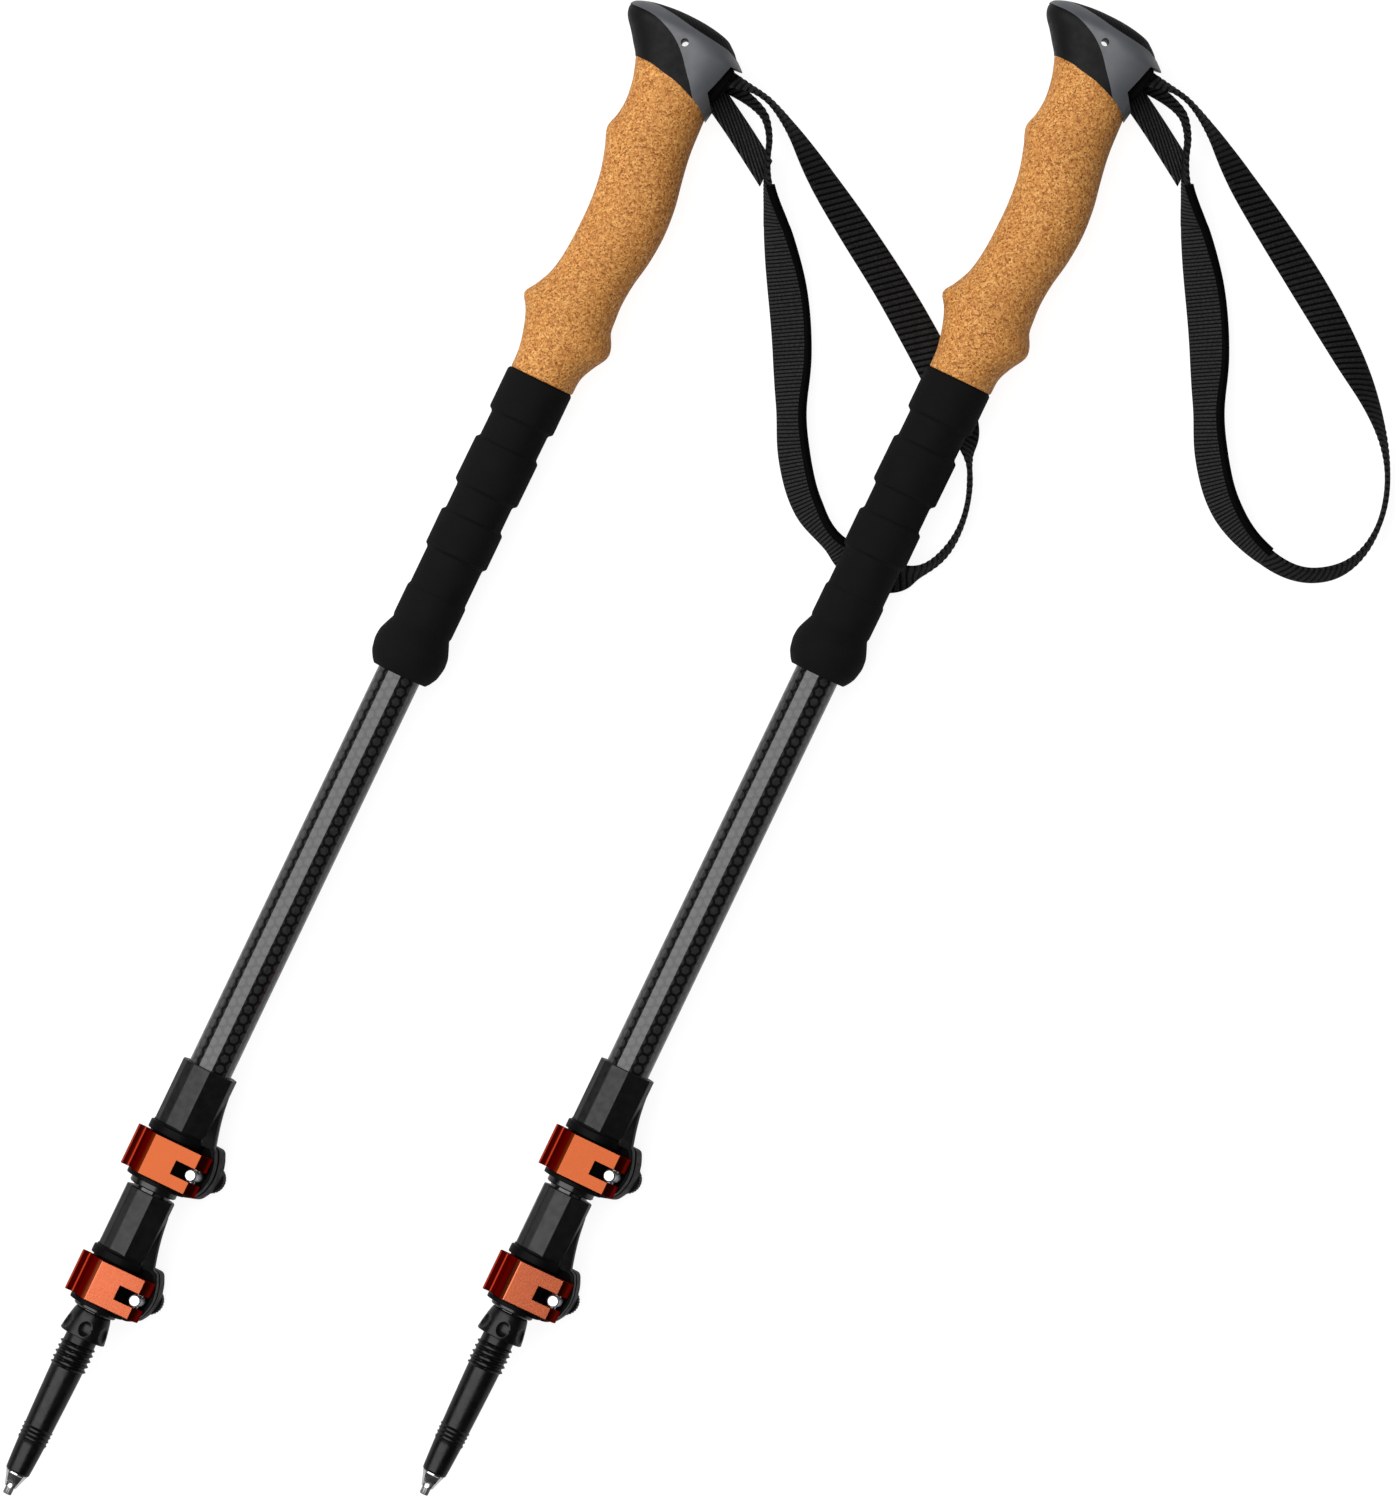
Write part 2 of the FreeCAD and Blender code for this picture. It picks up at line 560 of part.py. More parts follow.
def head(side):
    """Nose, shell and top pad, and the wedge and pin that hold the strap in the shell's slot."""
    nose = [CORK_TOP_EDGE[0], *reversed(NOSE_FRONT), *reversed(SHELL_LOWER_EDGE)]
    head_piece(side, "head_nose", nose)

    def slot(body, name):
        ends = ("dims.strap_slot_floor", "dims.strap_slot_start", "dims.strap_slot_end")
        return polygon(body, "XY_Plane", name, ((ends[0], ends[1]), ("40", ends[1]),
                                                ("40", ends[2]), (ends[0], ends[2])))

    def lanyard_hole(body, name):
        return circle(body, "XY_Plane", name, "dims.lanyard_hole_x", "dims.lanyard_hole_y",
                      "dims.lanyard_hole_radius")

    def pin_hole(body, name):
        return circle(body, "XY_Plane", name, "dims.strap_pin_x", "dims.strap_pin_y",
                      "dims.strap_pin_radius")

    shell = [*SHELL_LOWER_EDGE, *SHELL_UPPER_EDGE, *SHELL_BACK]
    head_piece(side, "head_shell", shell, (
        ("StrapSlot", slot, "2 * dims.strap_slot_half_width"),
        ("LanyardHole", lanyard_hole, "60"),
        ("StrapPinHole", pin_hole, "2 * dims.strap_pin_half_length")))
    pad = [*SHELL_UPPER_EDGE, *PAD_TOP]
    head_piece(side, "top_pad", pad)

    wedge = new_body(f"{side}_strap_wedge")
    ends = ("dims.strap_slot_floor", "dims.strap_slot_start", "dims.strap_slot_end")
    block = ((ends[0], ends[1]), ("dims.wedge_face", ends[1]), ("dims.wedge_face", ends[2]),
             (ends[0], ends[2]))
    extrude(wedge, polygon(wedge, "XY_Plane", "Outline", block),
            "2 * dims.strap_slot_half_width")
    extrude(wedge, pin_hole(wedge, "PinHole"), "40", "Pocket")
    place(wedge, side)
    finish_piece(wedge, f"{side}_strap_wedge")

    pin = document.addObject("Part::Cylinder", f"{side}_strap_pin")
    pin.setExpression("Radius", "dims.strap_pin_radius")
    pin.setExpression("Height", "2 * dims.strap_pin_half_length")
    place(pin, side, x="dims.strap_pin_x", y="dims.strap_pin_y",
          z="-dims.strap_pin_half_length")
    finish_piece(pin, f"{side}_strap_pin")


def tip(side):
    """Tip body with thread and collar, metal holder and carbide point."""
    thread = ("dims.thread_start", "dims.thread_end")
    outline = (("dims.flute_shank", "dims.flute_end"), ("5.0", "dims.flute_end"), ("5.6", "20"),
               ("5.9", "24"), ("6.1", "35"), ("6.5", "50"), ("6.6", thread[0]),
               ("dims.thread_radius", thread[0]), ("dims.thread_radius", thread[1]),
               ("6.5", thread[1]), ("6.5", "dims.collar_start"),
               ("dims.collar_radius - 0.8", "dims.collar_start"),
               ("dims.collar_radius", "dims.collar_start + 1"),
               ("dims.lower_tube_radius + 0.6", "dims.collar_end"),
               ("dims.lower_tube_radius", "dims.collar_end"),
               ("dims.lower_tube_radius", "dims.lower_tube_start"),
               ("0", "dims.lower_tube_start"), ("0", "20"), ("dims.flute_shank", "20"))
    turned(side, "tip_body", outline)
    shank = "dims.carbide_radius - 0.6"
    outline = ((shank, "dims.carbide_length"), ("2.5", "dims.carbide_length"),
               ("dims.flute_radius", "dims.flute_end - 0.6"),
               ("dims.flute_radius", "dims.flute_end"), ("dims.flute_shank", "dims.flute_end"),
               ("dims.flute_shank", "20"), ("0", "20"), ("0", "8"), (shank, "8"))
    turned(side, "tip_holder", outline)
    outline = (("0", "0.6"), ("dims.carbide_radius - 0.4", "0"), ("dims.carbide_radius", "0.5"),
               ("dims.carbide_radius", "dims.carbide_length"), (shank, "dims.carbide_length"),
               (shank, "8"), ("0", "8"))
    turned(side, "carbide_tip", outline)


def rounded_path(points):
    """Straight runs joined by tangent arcs, and the arcs' radii."""
    edges, radii, start = [], [], points[0]
    for before, corner, after in zip(points, points[1:], points[2:]):
        into, out = (corner - before), (after - corner)
        shorter = min(into.Length, out.Length)
        half_turn = into.getAngle(out) / 2
        reach = 0.45 * shorter
        radii.append(reach / math.tan(half_turn))
        into.normalize()
        out.normalize()
        arc_start, arc_end = corner - into * reach, corner + out * reach
        bisector = (out - into).normalize()
        middle = corner + bisector * (radii[-1] / math.cos(half_turn) - radii[-1])
        edges.append(Part.LineSegment(start, arc_start).toShape())
        edges.append(Part.Arc(arc_start, middle, arc_end).toShape())
        start = arc_end
    edges.append(Part.LineSegment(start, points[-1]).toShape())
    return Part.Wire(edges), radii


def ribbon(side, name, route, width, thickness):
    """A flat ribbon of webbing along a route, its width level."""
    surface = -size("axis_height")
    points = [Vector(x, y, surface + height) for x, y, height in route]
    path, radii = rounded_path(points)
    first, second = points[:2]
    along = (second - first).normalize()
    across = Vector(0, 0, 1).cross(along).normalize() * (width / 2)
    up = along.cross(across).normalize() * (thickness / 2)
    corners = [first + across + up, first - across + up, first - across - up,
               first + across - up]
    profile = Part.makePolygon(corners + corners[:1])
    sweep = Part.BRepOffsetAPI.MakePipeShell(path)
    sweep.setBiNormalMode(Vector(0, 0, 1))
    sweep.add(profile)
    sweep.build()
    sweep.makeSolid()
    solid = sweep.shape()
    print(f"{side}_{name}: length {path.Length:.1f}, least radius {min(radii):.1f},"
          f" volume over section times length"
          f" {abs(solid.Volume) / (path.Length * width * thickness):.3f}")
    strap = document.addObject("Part::Feature", f"{side}_{name}")
    strap.Shape = solid
    place(strap, side)
    return finish_piece(strap, f"{side}_{name}")


def clamp(side, level, fixed, held):
    """All pieces of one clamp, and the seal ring under it.

    The clamp sits on the lower end of the fixed tube and holds the tube that slides in it.
    """
    clamp_body(side, level, fixed, held)
    clamp_bolt(side, level)
    pivot_pin(side, level)
    clamp_lever(side, level, fixed)
    clamp_nut(side, level)
    seal_ring(side, level, fixed, held, f"dims.{level}_seal_length")


def pole(side):
    """One whole pole."""
    tube(side, "upper_tube", "dims.upper_tube_radius",
         "dims.upper_clamp_base + dims.socket_start", "dims.upper_tube_top")
    foam_grip(side)
    cork_grip(side)
    head(side)
    ribbon(side, "wrist_strap", STRAP_ROUTE, size("strap_width"), size("strap_thickness"))
    ribbon(side, "strap_tail", TAIL_ROUTE, size("tail_width"), size("tail_thickness"))
    clamp(side, "upper", "upper", "middle")
    tube(side, "middle_tube", "dims.middle_tube_radius",
         "dims.lower_clamp_base + dims.socket_start", "dims.middle_tube_top")
    glide_bush(side, "middle_glide_bush", "dims.middle_tube_radius", "dims.middle_tube_top")
    clamp(side, "lower", "middle", "lower")
    tube(side, "lower_tube", "dims.lower_tube_radius", "dims.lower_tube_start",
         "dims.lower_tube_top")
    glide_bush(side, "lower_glide_bush", "dims.lower_tube_radius", "dims.lower_tube_top")
    tip(side)


for pole_side in SIDES:
    pole(pole_side)
document.recompute()

failed = [item.Name for item in document.Objects
          if "Invalid" in item.State or "Error" in item.State]
failed += [piece.Label for piece in pieces
           if piece.Shape.isNull() or not piece.Shape.isValid() or not piece.Shape.Solids]
if failed:
    raise RuntimeError(f"failed objects: {failed}")

os.makedirs("parts", exist_ok=True)
for piece in pieces:
    piece.Shape.exportStep(f"parts/{piece.Label}.step")
print(f"{len(pieces)} sub-parts written")
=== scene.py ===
"""Looks of a pair of collapsed trekking poles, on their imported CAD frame.

Shapes are written in each pole's own frame, in millimetres: X to the side of the hand strap,
Y from the tip to the head, Z up from the pole's axis. pole_matrix() takes them to the row frame.
A clamp's shapes are written in the clamp's frame: the same axes, from the clamp's lower end.
"""
import math

import bmesh
import bpy
from mathutils import Matrix, Vector


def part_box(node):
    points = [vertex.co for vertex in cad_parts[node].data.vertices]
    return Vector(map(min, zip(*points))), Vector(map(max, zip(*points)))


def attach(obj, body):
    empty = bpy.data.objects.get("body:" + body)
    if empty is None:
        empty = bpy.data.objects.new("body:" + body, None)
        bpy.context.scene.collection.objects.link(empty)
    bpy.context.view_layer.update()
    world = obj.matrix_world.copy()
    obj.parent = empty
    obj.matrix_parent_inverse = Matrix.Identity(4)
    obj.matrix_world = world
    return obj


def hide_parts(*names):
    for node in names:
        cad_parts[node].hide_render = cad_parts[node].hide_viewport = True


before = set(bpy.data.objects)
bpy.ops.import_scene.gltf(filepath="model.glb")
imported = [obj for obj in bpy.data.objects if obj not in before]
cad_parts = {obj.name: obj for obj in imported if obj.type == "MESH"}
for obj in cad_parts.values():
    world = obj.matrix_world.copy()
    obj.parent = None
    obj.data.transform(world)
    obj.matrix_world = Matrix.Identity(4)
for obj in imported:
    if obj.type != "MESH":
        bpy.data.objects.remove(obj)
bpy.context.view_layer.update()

SIDES = ("left", "right")
MM = 0.001

# Sizes in millimetres and degrees, the same as in the CAD.
AXIS_HEIGHT = 18.4
UPPER_RADIUS = 9.0
MIDDLE_RADIUS = 8.0
LOWER_RADIUS = 7.0
CLAMP_TURN = {"upper": 0.0, "lower": 5.5}
CLAMP_TUBE = {"upper": UPPER_RADIUS, "lower": MIDDLE_RADIUS}
CLAMP_HELD = {"upper": MIDDLE_RADIUS, "lower": LOWER_RADIUS}
CLAMP_BODY = {"upper": "handle", "lower": "middle"}
LOW_RING, LEVER_ZONE, TOP_RING, NECK_LENGTH = 2.0, 18.0, 4.0, 27.0
RING_TOP = LOW_RING + LEVER_ZONE + TOP_RING
COLLAR_WALL, RING_WALL = 2.3, 3.6
SOCKET_START = 26.0
BOLT_OFFSET, BOLT_TILT, PIVOT_HEIGHT, CAM_RADIUS = 15.6, 14.0, 10.8, 3.9
BOLT_STATION = LOW_RING + LEVER_ZONE / 2 - 0.5
NUT_RADIUS, NUT_TOP, NUT_BOTTOM = 6.0, -11.0, -16.2
EAR_TOP, EAR_BOTTOM, SLIT = 6.2, -10.7, 1.8
STRAP_WIDTH, STRAP_THICKNESS = 15.0, 1.8
TAIL_WIDTH, TAIL_THICKNESS = 12.0, 1.4
FREE = 0.08

# Takes a shape turned about Y to one turned about Z.
UPRIGHT = Matrix.Rotation(math.pi / 2, 4, "X")


# ------------ places

def pole_matrix(side):
    """From a pole's own frame in millimetres to the row frame in metres."""
    low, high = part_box(f"{side}_upper_tube")
    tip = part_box(f"{side}_carbide_tip")[0].y
    axis = Vector(((low.x + high.x) / 2, tip, (low.z + high.z) / 2))
    return Matrix.Translation(axis) @ Matrix.Scale(MM, 4)


POLE = {side: pole_matrix(side) for side in SIDES}
POLE_SHIFT = (POLE["right"].translation - POLE["left"].translation) / MM


def station(node, end):
    """How far along its pole a node of the left pole begins (end 0) or ends (end 1)."""
    return (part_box(f"left_{node}")[end].y - POLE["left"].translation.y) / MM


CLAMP_BASE = {level: station(f"{level}_clamp_body", 0) for level in CLAMP_TURN}
FOAM_START, CORK_START = station("foam_grip", 0), station("foam_grip", 1)


def clamp_matrix(level):
    """From a clamp's frame to its pole's frame."""
    turn = Matrix.Rotation(math.radians(CLAMP_TURN[level]), 4, "Y")
    return Matrix.Translation((0, CLAMP_BASE[level], 0)) @ turn


def bolt_matrix(along):
    """From a bolt's frame, with Z along the bolt to the front, to its clamp's frame."""
    tilt = Matrix.Rotation(math.radians(-BOLT_TILT), 4, "Y")
    return Matrix.Translation((BOLT_OFFSET, along, 0)) @ tilt


# ------------ outlines and meshes

def arc(x, y, radius, start, end, steps):
    """Points of an arc, from one angle to another in degrees."""
    angles = [math.radians(start + (end - start) * i / steps) for i in range(steps + 1)]
    return [(x + radius * math.cos(a), y + radius * math.sin(a)) for a in angles]


def circle(count):
    """Angles at even steps all the way round."""
    return [2 * math.pi * i / count for i in range(count)]


def rounded(points, radius, steps=3, closed=True):
    """An outline with each of its corners rounded."""
    result, count = [], len(points)
    for i in range(count):
        if not closed and i in (0, count - 1):
            result.append(tuple(points[i]))
            continue
        corner = Vector(points[i])
        into, out = Vector(points[i - 1]) - corner, Vector(points[(i + 1) % count]) - corner
        reach = min(radius, 0.45 * into.length, 0.45 * out.length)
        start, end = corner + into.normalized() * reach, corner + out.normalized() * reach
        for step in range(steps + 1):
            t = step / steps
            result.append(tuple(start.lerp(corner, t).lerp(corner.lerp(end, t), t)))
    return result


def follow(table, place):
    """The values of a table of (place, values...) at a place, on a smooth curve through them."""
    place = min(max(place, table[0][0]), table[-1][0])
    after = next((i for i, row in enumerate(table) if row[0] >= place and i > 0), 1)
    low, high = table[after - 1], table[after]
    before, beyond = table[max(after - 2, 0)], table[min(after + 1, len(table) - 1)]
    span = high[0] - low[0]
    t = (place - low[0]) / span
    values = []
    for b, p, q, n in zip(before[1:], low[1:], high[1:], beyond[1:]):
        start = (q - b) / (high[0] - before[0]) * span
        end = (n - p) / (beyond[0] - low[0]) * span
        values.append(p * (2 * t ** 3 - 3 * t ** 2 + 1) + start * (t ** 3 - 2 * t ** 2 + t)
                      + q * (3 * t ** 2 - 2 * t ** 3) + end * (t ** 3 - t ** 2))
    return values


def smooth(points, steps=5):
    """A smooth open line through a few points."""
    table = [(i, *point) for i, point in enumerate(points)]
    count = (len(points) - 1) * steps
    return [tuple(follow(table, i / steps)) for i in range(count + 1)]


def loft(loops, ring=False):
    """A closed mesh through successive loops of points; ring joins the last loop to the first."""
    mesh = bmesh.new()
    rows = [[mesh.verts.new(point) for point in loop] for loop in loops]
    pairs = list(zip(rows, rows[1:])) + ([(rows[-1], rows[0])] if ring else [])
    for one, other in pairs:
        for i in range(len(one)):
            j = (i + 1) % len(one)
            mesh.faces.new((one[i], one[j], other[j], other[i]))
    if not ring:
        mesh.faces.new(rows[0])
        mesh.faces.new(rows[-1])
    bmesh.ops.recalc_face_normals(mesh, faces=mesh.faces)
    return mesh


def lathe(profile, segments, shape=None):
    """A closed ring turned about Y from a profile of (radius, y).

    shape(radius, y, angle) may give another radius at an angle; angle 0 is the front, +Z.
    """
    loops = []
    for radius, y in profile:
        loop = []
        for angle in circle(segments):
            reach = shape(radius, y, angle) if shape else radius
            loop.append((reach * math.sin(angle), y, reach * math.cos(angle)))
        loops.append(loop)
    return loft(loops, ring=True)


def prism(outline, low, high, axis="Y"):
    """An outline extruded from low to high: outline in X and Z along Y, or in X and Y along Z."""
    return loft([[(u, level, v) if axis == "Y" else (u, v, level) for u, v in outline]
                 for level in (low, high)])


def joined(*parts):
    """One mesh of several closed shells."""
    mesh = bmesh.new()
    for part in parts:
        data = bpy.data.meshes.new("shell")
        part.to_mesh(data)
        part.free()
        mesh.from_mesh(data)
        bpy.data.meshes.remove(data)
    return mesh


def moved(mesh, matrix):
    """The mesh, taken through a matrix."""
    bmesh.ops.transform(mesh, matrix=matrix, verts=mesh.verts)
    return mesh


def linked(name, data):
    """A new object in the scene."""
    thing = bpy.data.objects.new(name, data)
    bpy.context.scene.collection.objects.link(thing)
    return thing


def scratch_object(mesh):
    """A temporary object that holds a mesh."""
    data = bpy.data.meshes.new("scratch")
    mesh.to_mesh(data)
    mesh.free()
    return linked("scratch", data)


def settled(holder):
    """The mesh of an object with its modifiers applied; the object is removed."""
    bpy.context.view_layer.update()
    depsgraph = bpy.context.evaluated_depsgraph_get()
    data = bpy.data.meshes.new_from_object(holder.evaluated_get(depsgraph))
    mesh = bmesh.new()
    mesh.from_mesh(data)
    bpy.data.meshes.remove(data)
    bpy.data.objects.remove(holder)
    return mesh


def modify(holder, kind, **settings):
    modifier = holder.modifiers.new("step", kind)
    for key, value in settings.items():
        setattr(modifier, key, value)


def combined(mesh, *steps):
    """A mesh after boolean steps of (operation, other mesh)."""
    holder = scratch_object(mesh)
    others = []
    for operation, other in steps:
        others.append(scratch_object(other))
        modify(holder, "BOOLEAN", operation=operation, solver="EXACT", object=others[-1])
    result = settled(holder)
    for other in others:
        bpy.data.objects.remove(other)
    return result


def bevelled(mesh, width, segments, angle):
    """A mesh with its sharp edges rounded."""
    holder = scratch_object(mesh)
    modify(holder, "BEVEL", width=width, segments=segments, limit_method="ANGLE",
           angle_limit=math.radians(angle))
    return settled(holder)


def add_piece(name, mesh, side, body, finish, nodes=(), crease=40):
    """One finished piece in its place on a pole, riding on a body and standing for CAD nodes.

    finish names one of MATERIALS, which goes in the piece's material slot.
    """
    data = bpy.data.meshes.new(name)
    mesh.to_mesh(data)
    data.transform(POLE[side])
    data.shade_smooth()
    data.set_sharp_from_angle(angle=math.radians(crease))
    data.materials.append(MATERIALS[finish])
    piece = linked(name, data)
    piece.modifiers.new("flat_faces", "WEIGHTED_NORMAL").keep_sharp = True
    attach(piece, f"{side}_{body}")
    if nodes:
        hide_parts(*[f"{side}_{node}" for node in nodes])
    return piece


def on_both(name, mesh, body, finish, nodes=(), crease=40):
    """The same piece on both poles."""
    made = [add_piece(f"{side}_{name}", mesh, side, body, finish, nodes, crease)
            for side in SIDES]
    mesh.free()
    return made


# ------------ materials

class Finish:
    """A Principled material, and short ways to build its procedural nodes."""

    def __init__(self, name, **sockets):
        self.material = bpy.data.materials.new(name)
        self.material.use_nodes = True
        self.nodes = self.material.node_tree.nodes
        self.links = self.material.node_tree.links
        self.shader = self.nodes["Principled BSDF"]
        for key, value in sockets.items():
            socket = key.replace("_", " ").title().replace("Ior", "IOR")
            self.shader.inputs[socket].default_value = value

    def node(self, kind, inputs=(), **settings):
        node = self.nodes.new(kind)
        for key, value in settings.items():
            setattr(node, key, value)
        for index, value in enumerate(inputs):
            if isinstance(value, bpy.types.NodeSocket):
                self.links.new(value, node.inputs[index])
            elif value is not None:
                node.inputs[index].default_value = value
        return node

    def place(self):
        """The point on the mesh, in metres in the row frame."""
        return self.node("ShaderNodeTexCoord").outputs["Object"]

    def math(self, operation, *values):
        return self.node("ShaderNodeMath", values, operation=operation).outputs[0]

    def vector(self, operation, *values):
        node = self.node("ShaderNodeVectorMath", values, operation=operation)
        return node.outputs["Value" if operation in ("LENGTH", "DOT_PRODUCT") else "Vector"]

    def split(self, point):
        return self.node("ShaderNodeSeparateXYZ", (point,)).outputs

    def texture(self, kind, count, **values):
        """A texture that repeats about this many times in a millimetre."""
        node = self.node(kind)
        self.links.new(self.place(), node.inputs["Vector"])
        node.inputs["Scale"].default_value = count / MM
        for key, value in values.items():
            node.inputs[key].default_value = value
        return node

    def noise(self, count, detail=2.0, roughness=0.5):
        node = self.texture("ShaderNodeTexNoise", count, Detail=detail, Roughness=roughness)
        return node.outputs[0]

    def cells(self, count, output="Distance", randomness=1.0):
        node = self.texture("ShaderNodeTexVoronoi", count, Randomness=randomness)
        return node.outputs[output]

    def between(self, value, low, high, start=0.0, end=1.0):
        """The value's span from low to high taken to start to end, smoothly and clamped."""
        node = self.node("ShaderNodeMapRange", (value, low, high, start, end),
                         interpolation_type="SMOOTHSTEP")
        return node.outputs[0]

    def tones(self, value, *stops):
        """A colour ramp with stops of (place, colour)."""
        node = self.node("ShaderNodeValToRGB", (value,))
        elements = node.color_ramp.elements
        while len(elements) < len(stops):
            elements.new(0.5)
        for element, (spot, colour) in zip(elements, stops):
            element.position = spot
            element.color = (*colour, 1.0)
        return node.outputs[0]

    def mix(self, amount, one, other):
        """Two colours, each an output or plain, mixed by an amount."""
        ends = [value if isinstance(value, bpy.types.NodeSocket) else (*value, 1.0)
                for value in (one, other)]
        node = self.node("ShaderNodeMix", (amount, *[None] * 5, *ends), data_type="RGBA")
        return node.outputs[2]

    def colour(self, output):
        self.links.new(output, self.shader.inputs["Base Color"])

    def rough(self, value, least, most, low=0.3, high=0.7):
        """Roughness from least to most as a value goes from low to high."""
        self.links.new(self.between(value, low, high, least, most),
                       self.shader.inputs["Roughness"])

    def relief(self, height, depth):
        """Bump of a height from 0 to 1 over a depth in millimetres."""
        node = self.node("ShaderNodeBump")
        node.inputs["Strength"].default_value = 1.0
        node.inputs["Distance"].default_value = depth * MM
        self.links.new(height, node.inputs["Height"])
        self.links.new(node.outputs[0], self.shader.inputs["Normal"])


def grey(value):
    return (value,) * 3


def moulded(name, dark, light, roughness, grain=2.5, depth=0.02, gloss=0.5):
    """Moulded plastic: faint flow marks, and a fine spark-eroded grain."""
    finish = Finish(name, specular_ior_level=gloss)
    flow = finish.noise(0.08, 3.0)
    fine = finish.noise(grain)
    finish.colour(finish.tones(flow, (0.35, dark), (0.7, light)))
    finish.rough(finish.noise(0.35, 3.0), roughness - 0.05, roughness + 0.07)
    finish.relief(fine, depth)
    return finish.material


def cork():
    """Pressed cork: honey-coloured granules of a millimetre, dark bark specks, small pits."""
    finish = Finish("cork", specular_ior_level=0.3)
    grain = finish.cells(1.25, "Color")
    granule = finish.vector("DOT_PRODUCT", grain, (0.5, 0.3, 0.2))
    fine = finish.noise(1.9, 5.0, 0.75)
    blend = finish.math("ADD", finish.math("MULTIPLY", granule, 0.45),
                        finish.math("MULTIPLY", fine, 0.55))
    body = finish.tones(blend, (0.33, (0.29, 0.09, 0.016)), (0.44, (0.53, 0.205, 0.043)),
                        (0.55, (0.71, 0.32, 0.083)), (0.68, (0.87, 0.48, 0.155)))
    speck = finish.between(finish.noise(1.7, 3.0, 0.65), 0.59, 0.64)
    body = finish.mix(speck, body, (0.15, 0.045, 0.011))
    tint = finish.between(finish.noise(0.05), 0.3, 0.7, 0.0, 0.2)
    finish.colour(finish.mix(tint, body, (0.49, 0.195, 0.047)))
    finish.rough(fine, 0.62, 0.82)
    pits = finish.math("SUBTRACT", finish.math("MULTIPLY", blend, 0.6), speck)
    finish.relief(pits, 0.12)
    return finish.material


def foam():
    """Closed-cell foam: black, matt, with fine skinned pores."""
    finish = Finish("foam", specular_ior_level=0.12)
    pores = finish.cells(1.7)
    patches = finish.noise(0.12, 3.0)
    finish.colour(finish.tones(patches, (0.3, (0.0032, 0.0032, 0.0034)),
                               (0.7, (0.0055, 0.0055, 0.0057))))
    finish.rough(patches, 0.78, 0.92)
    finish.relief(finish.math("ADD", pores, finish.noise(3.5)), 0.06)
    return finish.material


def carbon(side):
    """Lacquered carbon tube: a honeycomb of fibre cells under a clear glossy coat."""
    finish = Finish(f"carbon_{side}", coat_weight=1.0, coat_roughness=0.035, coat_ior=1.56,
                    specular_ior_level=0.1)
    axis = tuple(POLE[side].translation)
    offset = finish.vector("SUBTRACT", finish.place(), axis)
    x, y, z = finish.split(offset)
    around = finish.math("MULTIPLY", finish.math("ARCTAN2", x, z), UPPER_RADIUS * MM)
    cell = 4.4 * MM
    across, along = finish.math("DIVIDE", around, cell), finish.math("DIVIDE", y, cell)
    point = finish.node("ShaderNodeCombineXYZ", (along, across, 0.0)).outputs[0]

    # The nearer of two interleaved lattices gives the middle of the hexagon a point is in.
    half = (0.5, math.sqrt(3) / 2, 0.5)
    centred = [finish.vector("WRAP", finish.vector("ADD", point, start), half,
                             tuple(-value for value in half))
               for start in ((0.0, 0.0, 0.0), half)]
    far = [finish.vector("LENGTH", finish.vector("MULTIPLY", one, (1.0, 1.0, 0.0)))
           for one in centred]
    nearer = finish.math("LESS_THAN", far[0], far[1])
    chosen = finish.node("ShaderNodeMix", (nearer, *[None] * 3, centred[1], centred[0]),
                         data_type="VECTOR")
    local = finish.split(finish.vector("ABSOLUTE", chosen.outputs[1]))
    slant = finish.math("ADD", finish.math("MULTIPLY", local[0], 0.5),
                        finish.math("MULTIPLY", local[1], math.sqrt(3) / 2))
    edge = finish.math("MAXIMUM", local[0], slant)
    wall = finish.between(edge, 0.3, 0.42)
    streaks = finish.noise(0.7, 2.0, 0.6)
    fibre = finish.tones(streaks, (0.3, grey(0.017)), (0.7, (0.033, 0.033, 0.034)))
    finish.colour(finish.mix(wall, fibre, grey(0.0005)))
    finish.rough(edge, 0.35, 0.55, 0.2, 0.45)
    return finish.material


def webbing(name, tone, fine):
    """Black woven webbing: random yarn tones on the crests of its ribs, and painted shade, near
    black, in the grooves between them.
    """
    finish = Finish(name, specular_ior_level=0.04)
    crest = finish.node("ShaderNodeAttribute", attribute_name="crest").outputs["Fac"]
    yarns = finish.cells(fine, randomness=0.35)
    fuzz = finish.noise(1.6, 4.0, 0.7)
    yarn_tones = finish.tones(finish.math("SUBTRACT", fuzz, finish.math("MULTIPLY", yarns, 0.3)),
                        (0.25, grey(tone * 0.55)), (0.6, grey(tone * 1.5)))
    # Painted shade: the rib height 'crest' darkens the grooves to near black.
    finish.colour(finish.mix(finish.between(crest, 0.4, 0.95), grey(0.0009), yarn_tones))
    finish.rough(fuzz, 0.62, 0.85)
    finish.relief(finish.math("ADD", yarns, finish.math("MULTIPLY", fuzz, 0.5)), 0.09)
    return finish.material


def anodised(name, tone):
    """Orange anodised aluminium: a satin bead-blasted skin, orange on its flat face, with painted
    shade in dark red on its sides.
    """
    finish = Finish(name, metallic=1.0, specular_tint=(0.35, 0.0, 0.0, 1.0))
    blast = finish.noise(5.0, 3.0)
    drift = finish.noise(0.06)
    face = finish.tones(drift, (0.3, tuple(0.96 * t for t in tone)), (0.7, tone))
    # The 'pale' mask marks the flat face; off it, the dark red is painted shade on the lever's
    # sides.
    pale = finish.node("ShaderNodeAttribute", attribute_name="pale").outputs["Fac"]
    finish.colour(finish.mix(pale, (0.19, 0.014, 0.005), face))
    finish.rough(blast, 0.24, 0.32)
    finish.relief(blast, 0.012)
    return finish.material


def turned_metal(name, tone, roughness):
    """Turned metal: fine tool marks and small variations of its polish."""
    finish = Finish(name, metallic=1.0)
    marks = finish.noise(4.0)
    dull = finish.noise(0.5, 3.0)
    finish.colour(finish.tones(dull, (0.3, tuple(0.85 * t for t in tone)), (0.6, tone)))
    finish.rough(dull, roughness, roughness + 0.12)
    finish.relief(marks, 0.006)
    return finish.material


